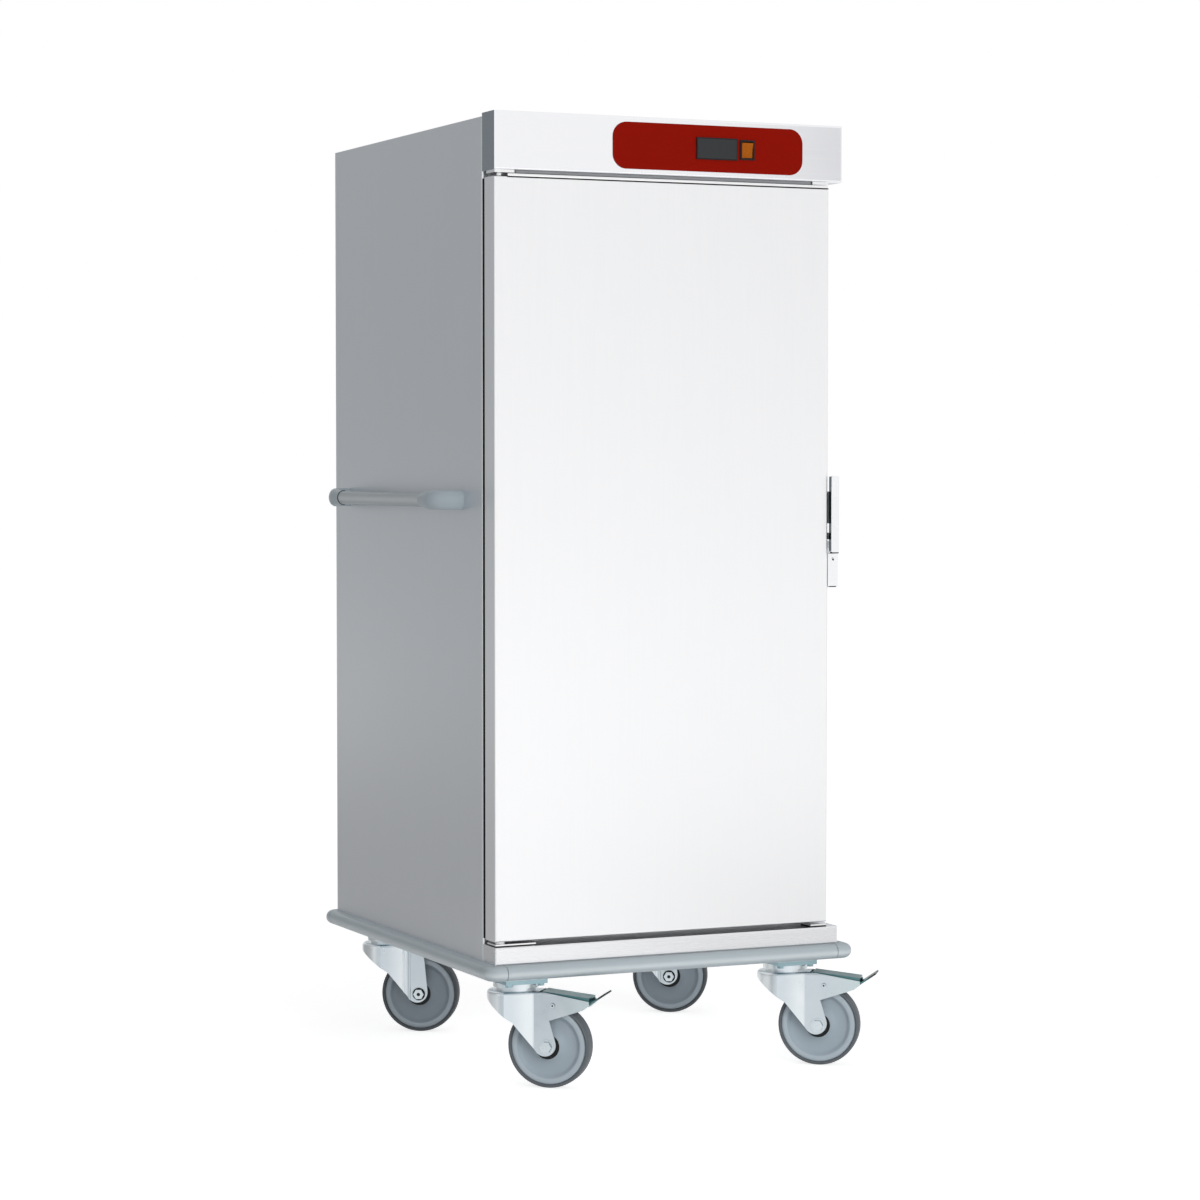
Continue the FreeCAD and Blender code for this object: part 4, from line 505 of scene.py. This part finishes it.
# %% Model the wheels
RIM_SIDE = [
    (6.05, 22.8), (10.5, 23.4), (11.2, 22.0), (19.0, 21.6), (20.6, 21.0), (21.8, 19.6), (25.0, 16.2),
    (30.0, 12.6), (34.0, 10.6), (38.0, 9.5), (44.0, 8.8), (52.0, 9.0), (55.6, 10.0), (58.2, 12.0),
    (60.2, 14.0), (62.2, 15.0), (64.0, 15.4), (67.0, 15.6), (69.6, 15.4), (71.4, 14.8), (72.6, 14.0),
]
TYRE_SIDE = [
    (72.6, 14.6), (73.2, 16.6), (74.2, 17.7), (75.8, 18.0), (77.2, 17.4), (78.6, 16.2), (79.5, 14.2),
    (79.9, 11.4), (80.0, 7.0),
]
# The bead skin is a paler copy of the disc plastic, a painted highlight.
BEAD = [
    (62.2, 14.0), (62.4, 15.3), (64.0, 15.7), (67.0, 15.9), (69.6, 15.7), (71.4, 15.1), (72.3, 14.4),
    (72.3, 13.2),
]
WASHER = [(8.0, 21.7), (23.4, 21.7), (23.8, 22.2), (23.8, 23.2), (23.4, 23.6), (8.0, 23.6)]
# The rear wheels take the darker copies, as painted shade.
LIT_WHEEL = (wheel_plastic, bead_painted_highlight, tyre_rubber)
PAINTED_SHADE_WHEEL = (shaded_plastic_painted, shaded_bead_painted, shaded_rubber_painted)


def both_sides(side):
    """A section of one flank, closed with its mirror image."""
    return side + [(radius, -height) for radius, height in reversed(side)]


for caster in CASTERS:
    body = f"{caster}_wheel"
    plastic, paler_bead_paint, rubber = LIT_WHEEL if caster in BRAKED else PAINTED_SHADE_WHEEL
    outward, inward = both_ends(joints[f"{caster}_roll"])
    rim = lathe(both_sides(RIM_SIDE), outward)
    disc = finish_piece(f"{caster}_wheel_disc", [rim], plastic, body)
    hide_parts(f"{caster}_rim")
    tyre = lathe(both_sides(TYRE_SIDE), outward)
    tread = finish_piece(f"{caster}_wheel_tread", [tyre], rubber, body)
    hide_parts(f"{caster}_tyre")
    beads = [lathe(BEAD, outward), lathe(BEAD, inward)]
    finish_piece(f"{caster}_rim_bead_highlights", beads, paler_bead_paint, body)
    washers = [lathe(WASHER, outward), lathe(WASHER, inward)]
    finish_piece(f"{caster}_thrust_washers", washers, black_nylon, body)
    print(caster, "wheel:", len(disc.data.polygons) + len(tread.data.polygons), "faces")

# %% [markdown]
# ## Caster fittings
# Small fittings make a pressed caster look real: a flange under each axle head, a black locking ring and a
# socket on the rear axles, and a hollow rivet with a dark bore on each brake pivot. All are turned pieces
# that sit on CAD faces, so their heights follow the CAD sizes: legs end 27 mm from the middle, pivots 29 mm
# and axle heads 34 mm.

# %% Model the caster fittings
FLANGE = [(11.3, 26.9), (14.2, 26.9), (14.2, 27.8), (13.6, 28.4), (11.3, 28.4)]
RIVET = [(1.7, 28.8), (4.4, 28.8), (4.6, 29.4), (4.0, 30.2), (2.2, 30.4), (1.7, 30.0)]
BORE = [(0, 28.9), (1.75, 28.9), (1.75, 29.2), (0, 29.3)]
LOCK_RING = [(9.0, 28.2), (13.2, 28.2), (13.2, 28.8), (12.8, 29.1), (9.0, 29.1)]
AXLE_SOCKET = [(0, 33.8), (3.6, 33.8), (3.6, 34.1), (0, 34.15)]
FITTING_STEPS = 48
for caster in CASTERS:
    flanges = [lathe(FLANGE, end, FITTING_STEPS) for end in both_ends(joints[f"{caster}_roll"])]
    finish_piece(f"{caster}_axle_flanges", flanges, zinc, f"{caster}_swivel")
for caster in UNBRAKED:
    ends = both_ends(joints[f"{caster}_roll"])
    dark = [lathe(section, end, FITTING_STEPS) for section in (LOCK_RING, AXLE_SOCKET) for end in ends]
    finish_piece(f"{caster}_axle_locks", dark, meter_abs, f"{caster}_swivel")
for caster in BRAKED:
    body = f"{caster}_brake"
    ends = both_ends(joints[f"{caster}_brake"])
    rivets = [lathe(RIVET, end, FITTING_STEPS) for end in ends]
    finish_piece(f"{caster}_brake_rivets", rivets, zinc, body)
    bores = [lathe(BORE, end, FITTING_STEPS) for end in ends]
    finish_piece(f"{caster}_rivet_bores", bores, black_nylon, body)
print("caster fittings:", len(CASTERS), "flange pairs and", len(BRAKED), "rivet pairs")

# %% [markdown]
# ## Door lip
# A folded lip stands along the top of the door and shows as a pale strip. A fine dark strip below it is
# painted shade in the joint between the two. The lip stays lower than the hinge plates, so that it swings past
# below them. Both are plain strips with soft edges, set a hair in front of the door so that they don't share a
# face with it.

# %% Model the door lip


def box_mm(node):
    """The lowest and highest corner of a CAD node in mm."""
    return [[value / MM for value in corner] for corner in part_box(node)]


door_low, door_high = box_mm("door_skin")
LIP_FROM = -338
LIP_TO = 334
LIP_PROUD = 0.3
LIP_DEEP = 3
LIP_RISE = 0.4
LIP_TALL = 5.4
lip = slab(
    (LIP_FROM, door_low[1] - LIP_PROUD, door_high[2] + LIP_RISE),
    (LIP_TO, door_low[1] + LIP_DEEP, door_high[2] + LIP_TALL),
    soften=0.6,
)
finish_piece("door_top_lip", [lip], satin_door_painted_light, "door")
SEAM_PROUD = 0.2
SEAM_DROP = 1.5
SEAM_RISE = 0.5
SEAM_SHORT = 1
# The dark strip under the lip is painted shade.
seam = slab(
    (LIP_FROM, door_low[1] - SEAM_PROUD, door_high[2] - SEAM_DROP),
    (door_high[0] - SEAM_SHORT, door_low[1] + LIP_DEEP, door_high[2] + SEAM_RISE),
    soften=0.1,
)
finish_piece("door_lip_shade_line", [seam], meter_abs, "door")
print("door lip:", LIP_TO - LIP_FROM, "mm long")

# %% [markdown]
# ## Strips and pads round the door
# A mid-grey strip hangs from the header behind the lip, painted shade in the gap above the door. A black strip
# on the cabinet in the gap on the hinge side is painted shade too, and black pads lie between the hinge plates
# and the sill. The strips take their places from the boxes of the CAD nodes that carry them.

# %% Model the strips and pads
header_low = box_mm("header_fascia")[0]
STRIP_FROM = -320
STRIP_TO = 300
STRIP_FRONT = 6
STRIP_BACK = 9
STRIP_HANG = 5.2
STRIP_TUCK = 0.2
# This grey strip is painted shade in the gap above the door.
strip = slab(
    (STRIP_FROM, header_low[1] + STRIP_FRONT, header_low[2] - STRIP_HANG),
    (STRIP_TO, header_low[1] + STRIP_BACK, header_low[2] + STRIP_TUCK),
    soften=0.5,
)
finish_piece("header_gap_shade_strip", [strip], gap_shade_pvc, "cabinet")
panel_low = box_mm("side_panel_left")[0]
SEAL_TUCK = 0.1
SEAL_PROUD = 4.5
SEAL_WIDE = 11
SEAL_SHORT = 1
# The black strip in the hinge-side gap is painted shade.
seal = slab(
    (panel_low[0] + SEAL_TUCK, panel_low[1] - SEAL_PROUD, door_low[2] + SEAL_SHORT),
    (panel_low[0] + SEAL_WIDE, panel_low[1] + SEAL_TUCK, door_high[2] - SEAL_SHORT),
    soften=1.0,
)
finish_piece("hinge_side_shade_strip", [seal], gasket_rubber, "cabinet")
sill_high = box_mm("sill")[1]
PAD_TALL = 2.4
PAD_FRONT = -428.9
PAD_BACK = -388.1
PAD_SPANS = ((-363.3, -280.7), (301.7, 336.3))
pads = []
for left, right in PAD_SPANS:
    pad_low = (left, PAD_FRONT, sill_high[2])
    pad_high = (right, PAD_BACK, sill_high[2] + PAD_TALL)
    pads.append(slab(pad_low, pad_high, soften=0.2))
finish_piece("hinge_pads", pads, black_nylon, "cabinet")
print("round the door: strip, seal and", len(pads), "pads")

# %% [markdown]
# ## Handle seals
# Each handle bar is a push fit in its rear bracket, and a thin black ring at the mouth of that sleeve is
# painted shade in the gap between bar and sleeve. The ring is turned round, then squeezed to the oval of the
# bar by the matrix that carries it to its place.

# %% Model the dark rings at the handle sleeves
bars_low, bars_high = box_mm("handle_bars")
BAR_HALF_TALL = (bars_high[2] - bars_low[2]) / 2
BAR_HALF_THICK = 12
BAR_LEVEL = (bars_high[2] + bars_low[2]) / 2
# Each black ring is painted shade at the sleeve's mouth.
SHADE_RING_SECTION = [(13.2, -0.6), (14.6, -0.6), (14.9, 0.2), (14.6, 1.4), (14.0, 1.8), (13.2, 1.8)]
squeeze = Matrix.Diagonal((BAR_HALF_THICK / BAR_HALF_TALL, 1, 1, 1))
rings = []
for x in (bars_low[0] + BAR_HALF_THICK, bars_high[0] - BAR_HALF_THICK):
    mouth = standing((0, -1, 0), (x * MM, bars_high[1] * MM, BAR_LEVEL * MM))
    rings.append(lathe(SHADE_RING_SECTION, mouth @ squeeze))
finish_piece("handle_shade_rings", rings, gasket_rubber, "cabinet")
print("handle seals:", len(rings))

# %% [markdown]
# ## Latch lever
# The lever of the latch gets a dark grey liner on the side where the fingers reach behind it, with two deeper
# pads, as painted shade beside the door's edge. It ends in a thin black foot, painted shade that shows as a
# dark line above the base.

# %% Model the lever's foot and liner
lever_low, lever_high = box_mm("latch_lever")
LEVER_FACE = -442.3
LEVER_END = 1008.0
FOOT_TALL = 2.2
FOOT_INSET = 0.6
FOOT_DEEP = 8.5
LAP = 0.2
# The black foot is painted shade in the gap above the base.
foot = slab(
    (lever_low[0] + FOOT_INSET, LEVER_FACE, LEVER_END - FOOT_TALL),
    (lever_high[0] - FOOT_INSET, LEVER_FACE + FOOT_DEEP, LEVER_END + LAP),
    soften=0.3,
)
finish_piece("latch_lever_shade_foot", [foot], black_nylon, "latch")
LINER_PROUD = 0.5
LINER_FRONT = LEVER_FACE + 2.0
LINER_BACK = LEVER_FACE + 10.6
LINER_LOW = LEVER_END + 3
LINER_SHORT = 1
# The liner and its pads are painted shade on the lever's side.
liner = slab(
    (lever_low[0] - LINER_PROUD, LINER_FRONT, LINER_LOW),
    (lever_low[0] + LAP, LINER_BACK, lever_high[2] - LINER_SHORT),
    soften=0.2,
)
SHADE_PAD_BACK = LEVER_FACE + 17.5
SHADE_PAD_DEEP = 1.6
SHADE_PAD_SPANS = ((1064, 1126), (1033, 1046))
shade_pads = []
for low, high in SHADE_PAD_SPANS:
    shade_pad_low = (lever_low[0] - LINER_PROUD, LINER_FRONT, low)
    shade_pad_high = (lever_low[0] + SHADE_PAD_DEEP, SHADE_PAD_BACK, high)
    shade_pads.append(slab(shade_pad_low, shade_pad_high, soften=0.2))
finish_piece("latch_shade_liner", [liner, *shade_pads], shade_liner_rubber, "latch")
print("latch lever: foot and liner with", len(shade_pads), "pads")

# %% [markdown]
# ## Latch base
# A small socket screw holds the base of the latch: a turned head with a dark bore. A black strip along the
# base's lower end is painted shade.

# %% Model the base's strip and screw
base_low, base_high = box_mm("latch_base")
END_STRIP_INSET = (1.5, 4)
END_STRIP_PROUD = 0.2
END_STRIP_DEEP = 3
END_STRIP_SPAN = (0.2, 2.2)
# The black strip at the base's lower end is painted shade.
base_shade_strip = slab(
    (base_low[0] + END_STRIP_INSET[0], base_low[1] - END_STRIP_PROUD, base_low[2] + END_STRIP_SPAN[0]),
    (base_high[0] - END_STRIP_INSET[1], base_low[1] + END_STRIP_DEEP, base_low[2] + END_STRIP_SPAN[1]),
    soften=0.1,
)
finish_piece("latch_base_shade_strip", [base_shade_strip], black_nylon, "door")
SCREW_DROP = 11
HEAD = [(2.0, -0.4), (4.0, -0.4), (4.0, 0.5), (3.4, 0.9), (2.4, 0.9), (2.0, 0.6)]
SOCKET = [(0, -0.3), (2.05, -0.3), (2.05, 0.15), (0, 0.2)]
screw_at = ((base_low[0] + base_high[0]) / 2 * MM, base_low[1] * MM, (base_high[2] - SCREW_DROP) * MM)
outwards = standing((0, -1, 0), screw_at)
head = lathe(HEAD, outwards, FITTING_STEPS)
finish_piece("latch_screw", [head], latch_chrome, "door")
socket = lathe(SOCKET, outwards, FITTING_STEPS)
finish_piece("latch_screw_socket", [socket], black_nylon, "door")
print("latch base: strip and screw")

# %% [markdown]
# ## Screws on the back
# The back panel is the one that a fitter takes off, so it is held by a row of pan head screws down each edge.

# %% Model the screws
back_low, back_high = box_mm("back_panel")
SCREW_INSET = 12
END_INSET = 36
SCREW_ROWS = 7
PAN_HEAD = [(0, 0.9), (1.4, 0.9), (1.7, 2.1), (2.8, 2.0), (3.7, 1.4), (4.1, 0.6), (4.1, -0.4), (0, -0.4)]
first = back_low[2] + END_INSET
pitch = (back_high[2] - back_low[2] - 2 * END_INSET) / (SCREW_ROWS - 1)
screws = []
for x in (back_low[0] + SCREW_INSET, back_high[0] - SCREW_INSET):
    for row in range(SCREW_ROWS):
        at = (x * MM, back_high[1] * MM, (first + row * pitch) * MM)
        screws.append(lathe(PAN_HEAD, standing((0, 1, 0), at), FITTING_STEPS))
finish_piece("back_panel_screws", screws, bright_inner, "cabinet")
print("back screws:", len(screws))

# %% [markdown]
# ## The surrounding
# The cart stands in a plain white surrounding, as for a catalogue picture. It is white only to rays that come
# from the camera or that metal and glass send out. For all other rays it lights the object at a plain level,
# stronger from the walls than from the ceiling.

# %% White surrounding
HORIZON = 0.64
ZENITH = 0.16
WHITE = (1, 1, 1, 1)
scene = bpy.context.scene


def shown_rays(tree):
    """The socket that is 1 on rays of the camera, of metal and of glass, and 0 on rays that carry light."""
    rays = add(tree, "ShaderNodeLightPath")
    seen = {0: rays.outputs["Is Camera Ray"], 1: rays.outputs["Is Glossy Ray"]}
    seen_or_mirrored = add(tree, "ShaderNodeMath", seen, operation="MAXIMUM")
    through = {0: seen_or_mirrored.outputs[0], 1: rays.outputs["Is Transmission Ray"]}
    return add(tree, "ShaderNodeMath", through, operation="MAXIMUM").outputs[0]


world = bpy.data.worlds.new("white_surrounding")
scene.world = world
world.use_nodes = True
tree = world.node_tree
tree.nodes.clear()
direction = add(tree, "ShaderNodeTexCoord")
height = add(tree, "ShaderNodeSeparateXYZ", {"Vector": direction.outputs["Generated"]}).outputs["Z"]
ambient = add(tree, "ShaderNodeMapRange", {"Value": height, "To Min": HORIZON, "To Max": ZENITH})
spread = {"Value": shown_rays(tree), "To Min": ambient.outputs["Result"], "To Max": 1.0}
strength = add(tree, "ShaderNodeMapRange", spread)
light = add(tree, "ShaderNodeBackground", {"Color": WHITE, "Strength": strength.outputs["Result"]})
add(tree, "ShaderNodeOutputWorld", {"Surface": light.outputs["Background"]})
print("surrounding:", world.name)

# %% [markdown]
# ## The floor
# The floor is white to the same rays, and adds some of its own shading to that white, so the cart keeps a
# soft shadow. It glows a little less near the cart, where more lamp light falls, and so is evenly white in
# the end. To the rays that carry light it is a plain white floor.

# %% Floor
FLOOR_SIZE = 60
GLOW_NEAR = 0.75
GLOW_FAR = 0.83
NEAR = 0.5
FAR = 1.5
FLOOR_SHADED = 0.60
FLOOR_WHITE = 0.92


def sheet_of(name, width, height, place):
    """A flat card for the studio."""
    shape = bmesh.new()
    bmesh.ops.create_grid(shape, x_segments=1, y_segments=1, size=0.5)
    bmesh.ops.scale(shape, vec=(width, height, 1), verts=shape.verts)
    bmesh.ops.transform(shape, matrix=place, verts=shape.verts)
    mesh = bpy.data.meshes.new(name)
    shape.to_mesh(mesh)
    shape.free()
    card = bpy.data.objects.new(name, mesh)
    scene.collection.objects.link(card)
    return card


floor = sheet_of("studio_floor", FLOOR_SIZE, FLOOR_SIZE, Matrix.Identity(4))
floor_paint = bpy.data.materials.new("white_floor")
floor_paint.use_nodes = True
tree = floor_paint.node_tree
tree.nodes.clear()
spot = add(tree, "ShaderNodeTexCoord")
away = add(tree, "ShaderNodeVectorMath", {0: spot.outputs["Object"]}, operation="LENGTH").outputs["Value"]
fade = {"Value": away, "From Min": NEAR, "From Max": FAR, "To Min": GLOW_NEAR, "To Max": GLOW_FAR}
level = add(tree, "ShaderNodeMapRange", fade)
glow = add(tree, "ShaderNodeEmission", {"Color": WHITE, "Strength": level.outputs["Result"]})
shaded = add(tree, "ShaderNodeBsdfDiffuse", {"Color": (FLOOR_SHADED, FLOOR_SHADED, FLOOR_SHADED, 1)})
bright = add(tree, "ShaderNodeAddShader", {0: glow.outputs[0], 1: shaded.outputs[0]})
plain = add(tree, "ShaderNodeBsdfDiffuse", {"Color": (FLOOR_WHITE, FLOOR_WHITE, FLOOR_WHITE, 1)})
choice = add(tree, "ShaderNodeMixShader", {0: shown_rays(tree), 1: plain.outputs[0], 2: bright.outputs[0]})
add(tree, "ShaderNodeOutputMaterial", {"Surface": choice.outputs[0]})
floor.data.materials.append(floor_paint)
print("studio floor:", FLOOR_SIZE, "m square")

# %% [markdown]
# ## Cards
# A metal sheet shows what stands in front of it, so a photographer shapes steel with cards. A grey card
# beside the cabinet and its continuation on the floor give the side its darker, even tone, and smaller ones
# make the header and the caster forks fall off. The cards show in reflections only: the camera doesn't see
# them, and they neither light nor shade. Their sizes and places are in metres and their tones are linear.

# %% Place the cards
ABOVE_FLOOR = 0.002
SIDE_TONE = (0.39, 0.405, 0.42)
SHEET_TONE = (0.38, 0.385, 0.39)
FORK_TONE = (0.66, 0.68, 0.70)
HEADER_TONE = (0.55, 0.55, 0.57)
SILL_TONE = (0.75, 0.75, 0.75)


def reflector(name, width, height, place, tone):
    """A card that only shows in reflections."""
    card = sheet_of(name, width, height, place)
    paint, tree, shader = new_material(name, base_color=(0, 0, 0, 1), specular_ior_level=0.0)
    shader.inputs["Emission Color"].default_value = (*tone, 1)
    shader.inputs["Emission Strength"].default_value = 1.0
    card.data.materials.append(paint)
    card.visible_camera = False
    card.visible_diffuse = False
    card.visible_shadow = False
    card.visible_transmission = False


def lying(x, y):
    """A matrix for a card that lies just above the floor."""
    return Matrix.Translation((x, y, ABOVE_FLOOR))


cards = [
    ("rear_left_card", 9, 9, standing((1, -0.35, 0), (-3.6, 4.6, 4.0)), SIDE_TONE),
    ("rear_left_sheet", 6, 6, lying(-3.55, 3.4), SHEET_TONE),
    ("left_sheet", 1.7, 2.3, lying(-1.6, -0.75), FORK_TONE),
    ("rear_right_card", 9, 9, standing((-1, -0.35, 0), (4.6, 4.6, 4.0)), FORK_TONE),
    ("header_card", 1.9, 0.6, standing((0, 1, 0), (4.1, -6.0, 2.38)), HEADER_TONE),
    ("sill_sheet", 3.0, 1.7, lying(2.0, -1.7), SILL_TONE),
]
for card in cards:
    reflector(*card)
print("cards:", len(cards))

# %% [markdown]
# ## Lamps
# Two large softboxes light the cart, a strong one in front and a weak one above. Each is given by its place,
# the point that it looks at, its size in metres and its power in watts. They don't show in the metal, because
# the cards and the white surrounding already shape what it reflects.

# %% Place the lamps


def softbox(name, at, aim, size, power):
    """A square area lamp that looks at a point and is left out of reflections."""
    data = bpy.data.lights.new(name, "AREA")
    data.size = size
    data.energy = power
    lamp = bpy.data.objects.new(name, data)
    scene.collection.objects.link(lamp)
    lamp.matrix_world = standing(Vector(at) - Vector(aim), at)
    lamp.visible_glossy = False


lamps = [
    ("front_softbox", (0.6, -7.2, 2.2), (0, -0.4, 0.6), 4.0, 210),
    ("top_softbox", (-1.5, -2.0, 5.5), (0, 0, 1.0), 3.0, 6),
]
for lamp in lamps:
    softbox(*lamp)
print("lamps:", len(lamps))

# %% [markdown]
# ## The camera
# The camera was fitted to the cabinet's edges: a long lens a little above half height, turned to see the left
# side.

# %% Camera
LENS_MM = 99.36
SENSOR_MM = 36
CAMERA_PLACE = (-2.7295, -6.1097, 1.177)
LOOK_DOWN = 2.33
LOOK_ASIDE = -24.43
camera_data = bpy.data.cameras.new("camera")
camera_data.lens = LENS_MM
camera_data.sensor_width = SENSOR_MM
camera = bpy.data.objects.new("camera", camera_data)
scene.collection.objects.link(camera)
camera.location = CAMERA_PLACE
camera.rotation_euler = (math.radians(90 - LOOK_DOWN), 0, math.radians(LOOK_ASIDE))
scene.camera = camera
scene.view_settings.view_transform = "Standard"
print("camera at", CAMERA_PLACE)
